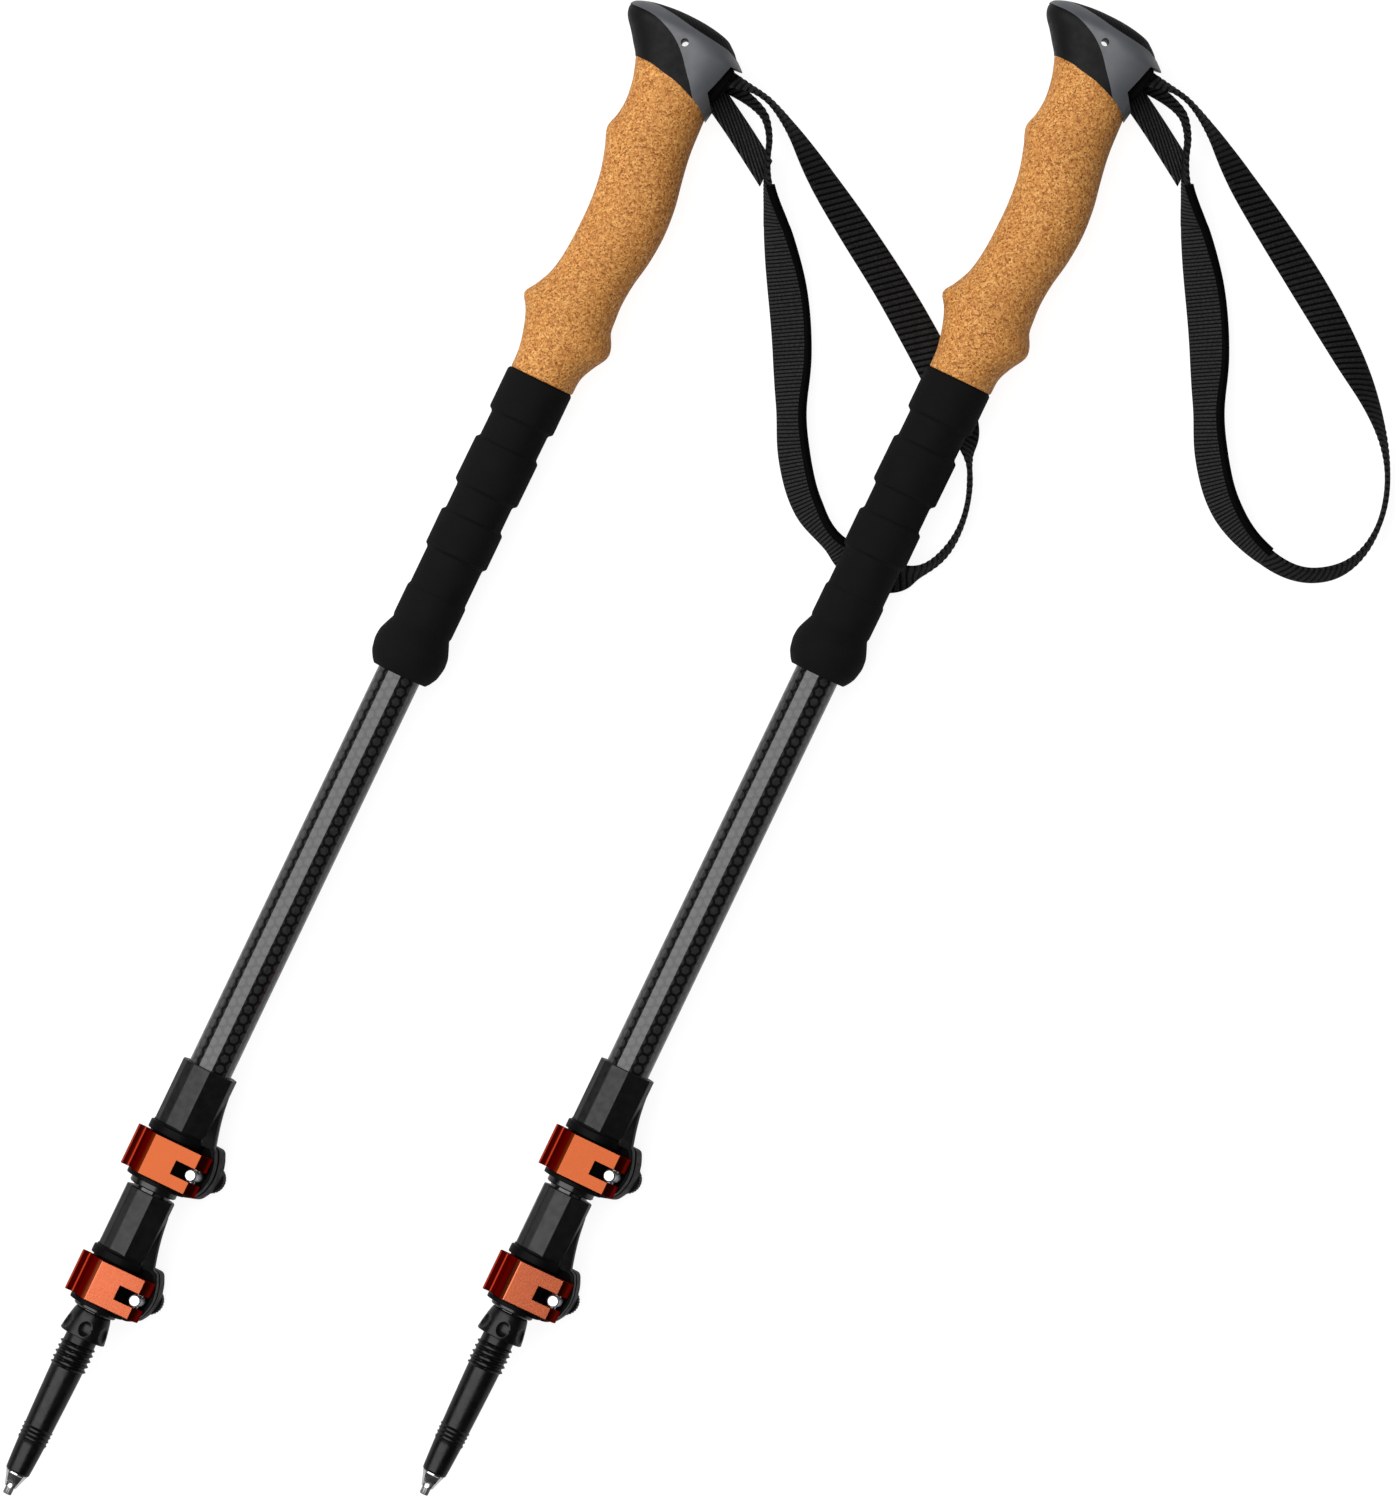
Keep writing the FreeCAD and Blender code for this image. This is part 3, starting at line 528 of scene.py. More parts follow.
def ribbed_rubber():
    """Soft rubber with raised slanting rows of small ribs."""
    finish = Finish("pad_rubber", specular_ior_level=0.06)
    x, y, z = finish.split(finish.place())
    slant = finish.math("ADD", finish.math("MULTIPLY", x, 0.8), y)
    rows = finish.math("SINE", finish.math("MULTIPLY", slant, 2 * math.pi / (1.5 * MM)))
    grain = finish.noise(1.8, 3.0)
    finish.colour(finish.tones(grain, (0.3, grey(0.002)), (0.7, (0.009, 0.009, 0.0095))))
    finish.rough(grain, 0.5, 0.7)
    finish.relief(finish.math("ADD", finish.between(rows, -0.6, 0.8), grain), 0.12)
    return finish.material


# Finishes of each kind, by name: the values that their functions take.
MOULDED = {
    "nose_plastic": ((0.005, 0.005, 0.0053), (0.009, 0.009, 0.0095), 0.5, 1.2, 0.06, 0.12),
    "grey_shell": ((0.085, 0.09, 0.098), (0.105, 0.11, 0.12), 0.38, 3.0, 0.012),
    "clamp_plastic": (grey(0.003), grey(0.005), 0.38, 2.2, 0.05, 0.34),
    "dull_plastic": (grey(0.003), grey(0.005), 0.4, 2.2, 0.03, 0.04),
    # slot_plastic: the strap wedge's own black, also used as painted shade on the clamp ears' dark
    # sheets.
    "slot_plastic": (grey(0.0015), grey(0.003), 0.6, 2.5, 0.02, 0.02),
    "seal_rubber": (grey(0.003), grey(0.005), 0.22),
    "bush_plastic": ((0.42, 0.42, 0.4), (0.5, 0.5, 0.48), 0.45),
    "tip_plastic": (grey(0.0025), grey(0.004), 0.3, 3.0, 0.02, 0.28),
}
TURNED = {"steel": ((0.58, 0.61, 0.63), 0.33), "tip_metal": ((0.8, 0.79, 0.77), 0.16),
          "carbide": ((0.3, 0.3, 0.31), 0.42)}
WOVEN = {"webbing": (0.022, 0.9), "pad_webbing": (0.03, 1.1), "tail_webbing": (0.045, 0.9),
         "binding": (0.001, 1.4)}
ANODISED = {"upper_lever_orange": (0.285, 0.064, 0.022),
            "lower_lever_orange": (0.47, 0.112, 0.05)}
MATERIALS = {
    "cork": cork(), "foam": foam(), "pad_rubber": ribbed_rubber(),
    **{name: moulded(name, *values) for name, values in MOULDED.items()},
    **{name: turned_metal(name, *values) for name, values in TURNED.items()},
    **{name: webbing(name, *values) for name, values in WOVEN.items()},
    **{name: anodised(name, tone) for name, tone in ANODISED.items()},
}
CARBON = {side: carbon(side) for side in SIDES}


# ------------ camera, light and floor

# The camera stands far above a point between the poles, in the left pole's frame. It looks at
# a point a little nearer the tips, and is turned so that the poles lie aslant in its view.
CAMERA_POINT = (120.6, 512.2, 4300.0)
VIEW_CENTRE = (120.6, 388.9, 0.0)
VIEW_HEIGHT = 600.0
CAMERA_TURN = 25.64


def camera():
    data = bpy.data.cameras.new("camera")
    data.sensor_width = 36.0
    eye = linked("camera", data)
    place, aim = POLE["left"] @ Vector(CAMERA_POINT), POLE["left"] @ Vector(VIEW_CENTRE)
    sight = place - aim
    data.lens = data.sensor_width * sight.length / (VIEW_HEIGHT * MM)
    turn = math.radians(CAMERA_TURN)
    top = Vector((-math.sin(turn), math.cos(turn), 0.0))
    back = sight.normalized()
    right = top.cross(back).normalized()
    eye.matrix_world = Matrix.Translation(place) @ Matrix(
        (right, back.cross(right), back)).transposed().to_4x4()
    bpy.context.scene.camera = eye


def softbox(direction, distance, size, radiance):
    """A soft rectangular light that faces the poles; size is across and along them."""
    data = bpy.data.lights.new("softbox", "AREA")
    data.shape = "RECTANGLE"
    data.size, data.size_y = size
    data.energy = radiance * math.pi * size[0] * size[1]
    lamp = linked("softbox", data)
    slant = math.radians(direction)
    lamp.location = (distance * math.sin(slant), 0.0, distance * math.cos(slant))
    lamp.rotation_euler = (0.0, slant, 0.0)
    lamp.visible_camera = False


# Size and height of the floor in metres, its brightness as the camera and as the poles see it.
FLOOR_REACH, FLOOR_HEIGHT = 12.0, -0.0012
FLOOR_SEEN, FLOOR_REFLECTED = 0.9, 0.38


def floor_piece():
    """A plain pale floor that fades evenly to white under the lights."""
    reach = FLOOR_REACH
    data = bpy.data.meshes.new("floor")
    corners = [(x, y, FLOOR_HEIGHT) for x in (-reach, reach) for y in (-reach, reach)]
    data.from_pydata(corners, [], [(0, 2, 3, 1)])
    ground = linked("floor", data)
    finish = Finish("floor", base_color=(0.22, 0.22, 0.22, 1.0), roughness=0.9,
                    specular_ior_level=0.0)
    finish.shader.inputs["Emission Color"].default_value = (1.0, 1.0, 1.0, 1.0)
    reflected = finish.node("ShaderNodeLightPath").outputs["Is Glossy Ray"]
    glow = finish.between(reflected, 0.0, 1.0, FLOOR_SEEN, FLOOR_REFLECTED)
    finish.links.new(glow, finish.shader.inputs["Emission Strength"])
    data.materials.append(finish.material)


def studio():
    world = bpy.data.worlds.new("studio")
    world.use_nodes = True
    background = world.node_tree.nodes["Background"]
    background.inputs["Color"].default_value = (0.9, 0.95, 1.0, 1.0)
    background.inputs["Strength"].default_value = 0.03
    bpy.context.scene.world = world
    softbox(-25.0, 3.2, (4.52, 3.8), 3.2)
    bpy.context.scene.view_settings.view_transform = "Standard"


camera()
studio()
floor_piece()


# ------------ wrist straps

# Route of the strap: pole's X and Y, height of its middle above the surface, and roll. The
# strap lies with its outer face up at roll 0 and stands on its edge at roll 90.
STRAP_ROUTE = (
    (15.6, 636.0, 22.0, 64), (28.0, 637.4, 20.4, 84), (42.8, 631.8, 14.0, 79),
    (64.9, 617.1, 7.0, 48), (86.7, 604.0, 4.0, 30), (111.1, 589.1, 2.2, 20),
    (135.8, 571.8, 2.4, 38), (155.4, 556.5, 4.4, 66), (169.3, 540.4, 6.5, 84),
    (177.0, 521.7, 8.0, 88), (176.9, 503.0, 7.6, 80), (169.3, 489.7, 6.6, 70),
    (154.4, 482.4, 6.0, 68), (134.0, 485.8, 5.0, 62), (117.0, 495.4, 4.6, 50),
    (104.4, 510.8, 4.6, 46), (95.2, 527.5, 5.0, 50), (86.6, 547.6, 4.4, 28),
    (74.8, 568.3, 3.6, 24), (60.8, 588.0, 7.0, 52), (49.3, 603.0, 11.0, 80),
    (43.8, 612.5, 13.8, 86), (40.5, 623.4, 15.0, 86), (32.0, 632.3, 15.5, 80),
    (15.6, 633.6, 15.0, 70),
)
TAIL_ROUTE = ((14.0, 627.4, 11.6, 36), (24.0, 621.8, 9.6, 38), (34.0, 615.8, 6.4, 38),
              (49.0, 606.4, 4.4, 38))
# The tail's end is cut aslant, in line with the pole, under the standing edge of the strap.
TAIL_CUT = 45.5
PAD_FROM, PAD_TO = 12.6, 20.3
PAD_WIDTH, PAD_THICKNESS = 16.6, 3.0
BINDING_INSET, BINDING_REACH, BINDING_RISE = 1.2, 1.6, 1.9
LEVEL_ROLL, LEVEL_HEIGHT = 5.0, 1.3
SURFACE_GAP = 0.1
NEIGHBOUR_REACH = 16.0


def strap_route(side):
    """The strap's route; where it runs under the other pole's grip it lies flat."""
    route = []
    for x, y, height, roll in STRAP_ROUTE:
        if side == "left" and abs(x - POLE_SHIFT.x) < NEIGHBOUR_REACH:
            height, roll = LEVEL_HEIGHT, LEVEL_ROLL
        route.append((x, y, height, roll))
    return route


def smooth_line(route, spacing, width, thickness):
    """Evenly spaced (point, roll, nearest route index) along the NURBS line of a route.

    The line is raised where a band of a width and thickness would go below the surface.
    """
    controls = [Vector((x, y, height - AXIS_HEIGHT)) for x, y, height, roll in route]
    curve = bpy.data.curves.new("route", "CURVE")
    curve.dimensions = "3D"
    curve.resolution_u = 24
    spline = curve.splines.new("NURBS")
    spline.points.add(len(controls) - 1)
    for control, place in zip(spline.points, controls):
        control.co = (*place, 1.0)
    spline.order_u = 3
    spline.use_endpoint_u = True
    holder = bpy.data.objects.new("route", curve)
    data = bpy.data.meshes.new_from_object(holder)
    raw = [vertex.co.copy() for vertex in data.vertices]
    bpy.data.objects.remove(holder)
    bpy.data.curves.remove(curve)
    bpy.data.meshes.remove(data)

    lengths = [0.0]
    for one, other in zip(raw, raw[1:]):
        lengths.append(lengths[-1] + (other - one).length)
    knots = []
    for index, control in enumerate(controls):
        nearest = min(range(len(raw)), key=lambda i: (raw[i] - control).length)
        knots.append((lengths[nearest], route[index][3], index))
    count = round(lengths[-1] / spacing)
    line, at = [], 0
    for step in range(count + 1):
        reach = lengths[-1] * step / count
        while at < len(lengths) - 2 and lengths[at + 1] < reach:
            at += 1
        share = (reach - lengths[at]) / (lengths[at + 1] - lengths[at])
        roll, index = follow(knots, reach)
        point = raw[at].lerp(raw[at + 1], share)
        turn = math.radians(roll)
        clear = (width * abs(math.sin(turn)) + thickness * abs(math.cos(turn))) / 2
        point.z = max(point.z, clear + SURFACE_GAP - AXIS_HEIGHT)
        line.append((point, roll, index))
    return line, lengths[-1]


def frames(line):
    """Each point of a line, the way out of its upper face and across it, and the length behind."""
    along = 0.0
    for i, (point, roll, index) in enumerate(line):
        ahead = line[min(i + 1, len(line) - 1)][0] - line[max(i - 1, 0)][0]
        forward = ahead.normalized()
        right = forward.cross(Vector((0, 0, 1))).normalized()
        up = right.cross(forward)
        angle = math.radians(roll)
        out = up * math.cos(angle) - right * math.sin(angle)
        if i:
            along += (point - line[i - 1][0]).length
        yield point, out, forward.cross(out), along


def band(line, width, thickness, ribs, depth, crown=0.0, steps=8):
    """A ribbon along a line: ribs(along, across) is 0 in a groove and 1 on a crest.

    width and thickness are functions of the share of the line that is behind a point.
    """
    loops, crests = [], []
    for i, (point, out, across, along) in enumerate(frames(line)):
        share = i / (len(line) - 1)
        half, thick = width(share) / 2, thickness(share) / 2
        loop = []
        for face in (1, -1):
            for j in range(steps + 1):
                v = face * (1 - 2 * j / steps)
                edge = 1.0 - 0.45 * abs(v) ** 8
                swell = crown * (1 - v * v) * (face > 0)
                crests.append(ribs(along, v * half))
                rib = depth * (2 * crests[-1] - 1) * (1 - abs(v) ** 6)
                height = face * (thick * edge + swell + rib)
                loop.append(point + across * (v * half) + out * height)
        loops.append(loop)
    mesh = loft(loops)
    # The rib height, 0 in a groove and 1 on a crest; the webbing material uses it to paint shade
    # in the grooves.
    layer = mesh.verts.layers.float.new("crest")
    for vertex, crest in zip(mesh.verts, crests):
        vertex[layer] = crest
    return mesh


def edge_binding(line, width):
    """A folded tape sewn over the padding's inner edge."""
    loops = []
    for i, (point, out, across, along) in enumerate(frames(line)):
        middle = point + across * (width(i / (len(line) - 1)) / 2 - BINDING_INSET)
        loops.append([middle + across * (BINDING_REACH * math.cos(turn))
                      + out * (BINDING_RISE * math.sin(turn)) for turn in circle(14)])
    return loft(loops)


def woven(pitch, slant=0.0):
    """Rounded cross ribs with narrow grooves between them, at a pitch and a slant."""
    return lambda along, across: abs(math.sin(math.pi * (along + slant * across) / pitch)) ** 0.6


def constant(value):
    return lambda share: value


def taper(full, ends):
    """A width that grows from its ends to its full size."""
    return lambda share: ends + (full - ends) * min(1.0, share * 7, (1 - share) * 7) ** 0.5


def wrist_strap(side):
    """The strap, its padded half with a bound edge, and the tail below it."""
    def strap_piece(name, mesh, finish, nodes=()):
        return add_piece(f"{side}_strap_{name}", mesh, side, "handle", finish, nodes, 60)

    line, length = smooth_line(strap_route(side), 0.21, PAD_WIDTH, PAD_THICKNESS)
    mesh = band(line, constant(STRAP_WIDTH), constant(STRAP_THICKNESS), woven(2.5, 0.29), 0.24)
    strap = strap_piece("webbing", mesh, "webbing", ["wrist_strap"])

    padded = [entry for entry in line if PAD_FROM <= entry[2] <= PAD_TO]
    pad_width = taper(PAD_WIDTH, STRAP_WIDTH - 0.3)
    mesh = band(padded, pad_width, taper(PAD_THICKNESS, STRAP_THICKNESS - 0.3), woven(1.5), 0.13,
                crown=0.5)
    pad = strap_piece("padding", mesh, "pad_webbing")
    binding = strap_piece("binding", edge_binding(padded[::4], pad_width), "binding")

    tail_line, _ = smooth_line(TAIL_ROUTE, 0.2, TAIL_WIDTH, TAIL_THICKNESS)
    mesh = band(tail_line, constant(TAIL_WIDTH), constant(TAIL_THICKNESS), woven(5.3, -3.0), 0.2,
                steps=32)
    cut = bmesh.ops.bisect_plane(mesh, geom=mesh.verts[:] + mesh.edges[:] + mesh.faces[:],
                                 plane_co=(TAIL_CUT, 0, 0), plane_no=(1, 0, 0), clear_outer=True)
    rim = [part for part in cut["geom_cut"] if isinstance(part, bmesh.types.BMEdge)]
    bmesh.ops.holes_fill(mesh, edges=rim)
    tail = strap_piece("tail_webbing", mesh, "tail_webbing", ["strap_tail"])


for pole_side in SIDES:
    wrist_strap(pole_side)


# ------------ grips

# Cork grip: place along the pole, reach to the front and to the back, half width.
CORK_SHAPE = (
    (495, 13.0, 14.0, 13.9), (502, 13.2, 14.4, 13.9), (508, 14.3, 16.9, 14.1),
    (514.5, 16.2, 20.4, 14.4), (519, 18.1, 19.9, 14.5), (524, 21.0, 17.4, 14.6),
    (529, 18.3, 16.8, 14.4), (536, 15.1, 16.4, 14.1), (545, 13.4, 17.1, 13.9),
    (556, 12.8, 19.0, 14.0), (568, 12.9, 19.8, 14.1), (580, 14.3, 18.9, 14.3),
    (590, 17.0, 17.0, 14.5), (598, 19.7, 15.6, 14.7), (604, 18.2, 14.9, 14.8),
    (611, 17.6, 14.5, 15.0), (620, 18.9, 14.1, 15.6), (630, 22.2, 13.8, 16.4),
)
CORK_TOP = ((-24.0, 628.3), (-15.0, 628.0), (-10.0, 627.0), (-5.0, 626.0), (0.0, 624.7),
            (6.5, 622.3), (10.0, 620.5), (14.0, 617.0), (18.0, 612.5))
CORK_STRAIGHT = 600.0
UPPER_TUBE_TOP = station("upper_tube", 1)


def cork_grip():
    """An oval handle with finger ridges, whose top follows the slanted edge of the head."""
    columns, step = 72, 1.6
    top = max(y for x, y in CORK_TOP)
    rows = round((top - CORK_START) / step)
    loops = []

    def column_point(y, angle):
        front, back, half = follow(CORK_SHAPE, y)
        middle, depth = (back - front) / 2, (back + front) / 2
        return middle + depth * math.cos(angle), half * math.sin(angle)

    for row in range(rows + 1):
        loop = []
        for angle in circle(columns):
            y = CORK_START + (top - CORK_START) * row / rows
            if y > CORK_STRAIGHT:
                x = column_point(y, angle)[0]
                end = follow(CORK_TOP, x)[0]
                share = (y - CORK_STRAIGHT) / (top - CORK_STRAIGHT)
                y = CORK_STRAIGHT + (end - CORK_STRAIGHT) * share
            x, z = column_point(y, angle)
            loop.append((x, y, z))
        loops.append(loop)
    edge = 0.5
    first, last = loops[0], loops[-1]
    drawn_in = [(x * 0.97, y, z * 0.97) for x, y, z in first]
    loops[0] = [(x, y + edge, z) for x, y, z in first]
    bore_low = [(UPPER_RADIUS * math.cos(angle), CORK_START, UPPER_RADIUS * math.sin(angle))
                for angle in circle(columns)]
    bore_high = [(x, UPPER_TUBE_TOP, z) for x, y, z in bore_low]
    closing = [(x * 0.6 - 2.0, min(y, UPPER_TUBE_TOP + 2), z * 0.6) for x, y, z in last]
    return loft([bore_high, bore_low, drawn_in, *loops, closing], ring=True)


# Foam grip: place along the grip, radius.
FOAM_PROFILE = (
    (0.0, 11.4), (1.4, 12.6), (4.5, 14.4), (9.5, 15.4), (13.5, 15.1), (17.0, 13.8),
    (20.5, 12.3), (21.5, 12.7), (34.5, 12.7), (35.5, 12.1), (51.5, 12.1), (52.5, 13.4),
    (67.5, 13.4), (68.5, 12.1), (79.5, 12.1), (80.5, 13.7), (99.5, 13.7), (100.5, 12.4),
    (111.5, 12.4), (112.5, 14.0), (129.6, 14.0), (130.5, 13.2),
)


def foam_grip():
    """A foam sleeve with a flared lower end and raised bands."""
    outline = [(radius, FOAM_START + along) for along, radius in FOAM_PROFILE]
    outline = rounded(outline, 1.3, closed=False)
    inner = UPPER_RADIUS + FREE
    profile = [(inner, FOAM_START), *outline, (inner, CORK_START)]

    def squeezed(radius, y, angle):
        if radius <= inner:
            return radius
        dent = 0.07 * math.sin(3 * angle + y / 17) + 0.06 * math.sin(5 * angle - y / 11)
        return radius + dent
    return lathe(profile, 96, squeezed)


on_both("cork_handle", cork_grip(), "handle", "cork", ["cork_grip"], 60)
for grip in on_both("foam_sleeve", foam_grip(), "handle", "foam", ["foam_grip"], 60):
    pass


# ------------ head

# Slices across the head: place along the pole, reach to the front and back, half width.
HEAD_SHAPE = (
    (612, 19.5, 14.2, 15.2), (620, 20.4, 15.6, 15.8), (628, 22.0, 16.4, 16.6),
    (633, 25.4, 17.4, 17.3), (637, 28.3, 18.8, 17.9), (640, 30.8, 20.0, 18.2),
    (642, 32.1, 18.2, 18.3), (644, 32.7, 15.8, 18.2), (646, 32.7, 14.0, 17.6),
    (648, 31.2, 11.6, 16.0), (649.6, 28.0, 9.2, 13.9), (650.8, 23.8, 5.0, 11.2),
    (651.6, 18.6, 0.2, 7.9), (652.0, 14.6, -4.2, 4.6), (652.2, 10.4, -9.4, 0.6),
)
SHELL_LOW = ((-38.0, 646.8), (-31.0, 646.0), (-25.0, 646.0), (-20.0, 645.3), (-15.0, 643.5),
             (-10.0, 640.8), (-5.0, 636.5), (0.0, 630.5), (3.0, 627.0), (6.5, 622.3))
SHELL_HIGH = ((-38.0, 645.5), (-33.0, 647.2), (-25.0, 650.0), (-15.0, 649.5), (-5.0, 647.8),
              (5.0, 646.6), (11.0, 645.7), (15.5, 643.9), (21.0, 641.4))
SLOT_EDGE = ((24.0, 640.6), (14.8, 640.2), (12.9, 633.4), (10.9, 627.0), (15.8, 620.6),
             (24.0, 620.6))
LANYARD_HOLE, LANYARD_RADIUS = (-5.8, 641.0), 1.6
STRAP_PIN, PIN_HALF, BLOCK_HALF = (12.0, 630.0), 9.0, 9.6
HEAD_REACH = 22.4
# Exponent of the head's section: 2 would be an ellipse, and more is squarer.
FULLNESS = 2.7


def head_blank(inset):
    """The head's whole outside, drawn in by an inset."""
    columns, loops = 88, []
    low, high = HEAD_SHAPE[0][0], HEAD_SHAPE[-1][0]
    rows = 46
    for row in range(rows + 1):
        share = row / rows
        y = low + (high - low) * (1 - (1 - share) ** 1.7)
        front, back, half = follow(HEAD_SHAPE, y)
        middle, depth = (back - front) / 2, max((back + front) / 2 - inset, 0.3)
        half = max(half - inset, 0.3)
        loop = []
        for angle in circle(columns):
            c, s = math.cos(angle), math.sin(angle)
            loop.append((middle + depth * math.copysign(abs(c) ** (2 / FULLNESS), c),
                         y - inset * share,
                         half * math.copysign(abs(s) ** (2 / FULLNESS), s)))
        loops.append(loop)
    return loft(loops)


def head_part(inset, outline, *steps):
    """The part of the head inside a side outline, drawn in by an inset, after more steps."""
    block = prism(outline, -HEAD_REACH, HEAD_REACH, axis="Z")
    return combined(head_blank(inset), ("INTERSECT", block), *steps)


def across_head(profile, place):
    """A shape turned about an axis across the head, at a place in X and Y."""
    return moved(lathe(profile, 48), Matrix.Translation((*place, 0)) @ UPRIGHT)


def head():
    """Nose, shell and top pad of the head, and the black block that fills the strap slot."""
    cork_line = smooth(CORK_TOP)
    under_nose = [point for point in cork_line if point[0] < 6.5]
    under_shell = [point for point in cork_line if 6.5 < point[0] < 16.5]
    low_line, high_line = smooth(SHELL_LOW), smooth(SHELL_HIGH)

    nose = [(-40.0, 628.3), *under_nose, *reversed(low_line), (-40.0, 646.8)]
    on_both("head_nose_cap", head_part(0.35, nose), "handle", "nose_plastic", ["head_nose"])

    shell = [*low_line, *under_shell, (17.5, 613.5), (24.0, 613.5), *reversed(SLOT_EDGE),
             *reversed(high_line)]
    hole = across_head([(0.02, -30), (LANYARD_RADIUS, -30), (LANYARD_RADIUS, 30), (0.02, 30)],
                       LANYARD_HOLE)
    on_both("head_shell_cover", head_part(0.0, shell, ("DIFFERENCE", hole)), "handle",
            "grey_shell", ["head_shell"])

    pad = [*high_line, (24.0, 645.0), (24.0, 660.0), (-40.0, 660.0), (-40.0, 645.5)]
    on_both("head_top_pad", head_part(0.15, pad), "handle", "pad_rubber", ["top_pad"])

    block = rounded([(8.5, 621.5), (13.2, 622.6), (15.4, 627.0), (17.0, 634.0), (17.2, 640.0),
                     (8.5, 640.0)], 2.0, 4)
    on_both("strap_block", bevelled(prism(block, -BLOCK_HALF, BLOCK_HALF, axis="Z"), 1.6, 4, 50),
            "handle", "slot_plastic", ["strap_wedge"])
    pin = rounded([(0.05, -PIN_HALF), (2.0, -PIN_HALF), (2.0, PIN_HALF), (0.05, PIN_HALF)], 0.4)
    on_both("strap_anchor_pin", across_head(pin, STRAP_PIN), "handle", "steel", ["strap_pin"])


head()


# ------------ clamps

# Neck outline of the upper clamp in X and Z: a ridge at the front and back, flats between.
NECK_OUTLINE = (
    (0.7, 12.3), (-6.4, 9.3), (-9.6, 6.7), (-11.5, 2.6), (-11.5, -2.6), (-9.6, -6.7),
    (-6.4, -9.3), (0.7, -12.3), (10.2, -7.2), (11.8, -2.6), (11.8, 2.6), (10.2, 7.2),
)
# Flare beside the neck: place above the neck's start, reach in X, half height.
FLARE = ((-1.5, 16.0, 6.4), (3.0, 14.8, 5.9), (8.0, 13.6, 5.1), (14.0, 12.5, 4.1),
         (21.0, 11.7, 3.0))
# One ear, in the bolt's X and the clamp's Y.
EAR_OUTLINE = ((-7.5, 0.4), (-1.6, 0.4), (1.2, 1.6), (3.6, 5.4), (4.9, 10.6), (4.7, 14.6),
               (3.6, 19.0), (1.4, 23.6), (-7.5, 23.6))


def sleeve(outline, bore, low, high, steps=6):
    """A prism with corners at an outline, around a round bore."""
    outer, inner = [], []
    count = len(outline)
    for i in range(count):
        one, other = Vector(outline[i]), Vector(outline[(i + 1) % count])
        for step in range(steps):
            point = one.lerp(other, step / steps)
            outer.append(point)
            inner.append(point.normalized() * bore)
    loops = [[(p.x, y, p.y) for p in ring] for ring, y in
             ((outer, low), (outer, high), (inner, high), (inner, low))]
    return loft(loops, ring=True)


def ear_outline(inset):
    """The outline of an ear, drawn in on its free sides."""
    return rounded([(x - inset, 12 + (y - 12) * (1 - inset / 12)) for x, y in EAR_OUTLINE], 1.6, 4)


def clamp_body(level):
    """The faceted neck with its flare, the collar with its rings and ears, and a dark matt sheet
    on the top ear's face as painted shade.
    """
    outer, bore = CLAMP_TUBE[level], CLAMP_HELD[level] + FREE
    shift = outer - UPPER_RADIUS
    ring, wall = outer + RING_WALL, outer + COLLAR_WALL
    lever_top = LOW_RING + LEVER_ZONE
    profile = [(bore, 0.0), (ring, 0.0), (ring, LOW_RING), (wall, LOW_RING), (wall, lever_top),
               (ring + 0.1, lever_top), (ring + 0.1, RING_TOP - 0.5), (ring - 0.9, RING_TOP - 0.3),
               (ring - 0.9, RING_TOP + 0.6), (outer + 0.2, RING_TOP + 0.6),
               (outer + 0.2, SOCKET_START), (bore, SOCKET_START)]
    collar = lathe(rounded(profile, 0.45), 128)

    scale = outer / UPPER_RADIUS
    corners = [(x * scale, z * scale) for x, z in NECK_OUTLINE]
    neck = sleeve(corners, outer + 0.02, RING_TOP + 0.2, RING_TOP + NECK_LENGTH)
    neck = bevelled(neck, 0.35, 3, 12)

    loops = []
    for step in range(15):
        along = FLARE[0][0] + (FLARE[-1][0] - FLARE[0][0]) * step / 14
        reach, half = follow(FLARE, along)
        half *= scale
        edge = reach + shift
        section = ((outer + 0.4, half * 1.25), (edge - 0.9, half), (edge, half - 1.4),
                   (edge, 1.4 - half), (edge - 0.9, -half), (outer + 0.4, -half * 1.25))
        loops.append([(x, RING_TOP + along, z) for x, z in section])
    flare = bevelled(loft(loops), 0.3, 2, 25)

    bolt = bolt_matrix(0)
    ears = [moved(bevelled(prism(ear_outline(0), low, high, axis="Z"), 0.45, 3, 40), bolt)
            for low, high in ((SLIT / 2, EAR_TOP), (EAR_BOTTOM, -SLIT / 2))]
    bridge = moved(prism(ear_outline(0.8), -SLIT, SLIT, axis="Z"), bolt)
    # A thin dark matt sheet over the top ear's face: painted shade, darker than the clamp's
    # plastic around it.
    shade_sheet = moved(prism(ear_outline(1.1), EAR_TOP - 0.6, EAR_TOP + 0.05, axis="Z"), bolt)
    place = clamp_matrix(level)
    return (moved(joined(neck, flare), place), moved(joined(collar, bridge, *ears), place),
            moved(shade_sheet, place))


# Lever's side, from the flat face round the raised finger lip to its back, in X and Z.
LEVER_LIP = ((-7.8, 15.4), (-9.8, 12.6), (-11.3, 9.4), (-11.9, 6.9), (-12.6, 5.3), (-14.0, 5.5),
             (-15.5, 6.1), (-16.1, 5.9), (-16.1, 4.9), (-14.8, 3.9), (-11.4, 4.2))
# The flat face, which keeps the orange while the rest of the lever gets painted shade in dark red:
# it is above a Z, and goes from one X to another.
FACE_ABOVE, FACE_FROM, FACE_TO = 14.8, -8.6, 12.2
LEVER_GAP, FORK_ROOT, FORK_HALF = 0.35, 4.0, 2.9


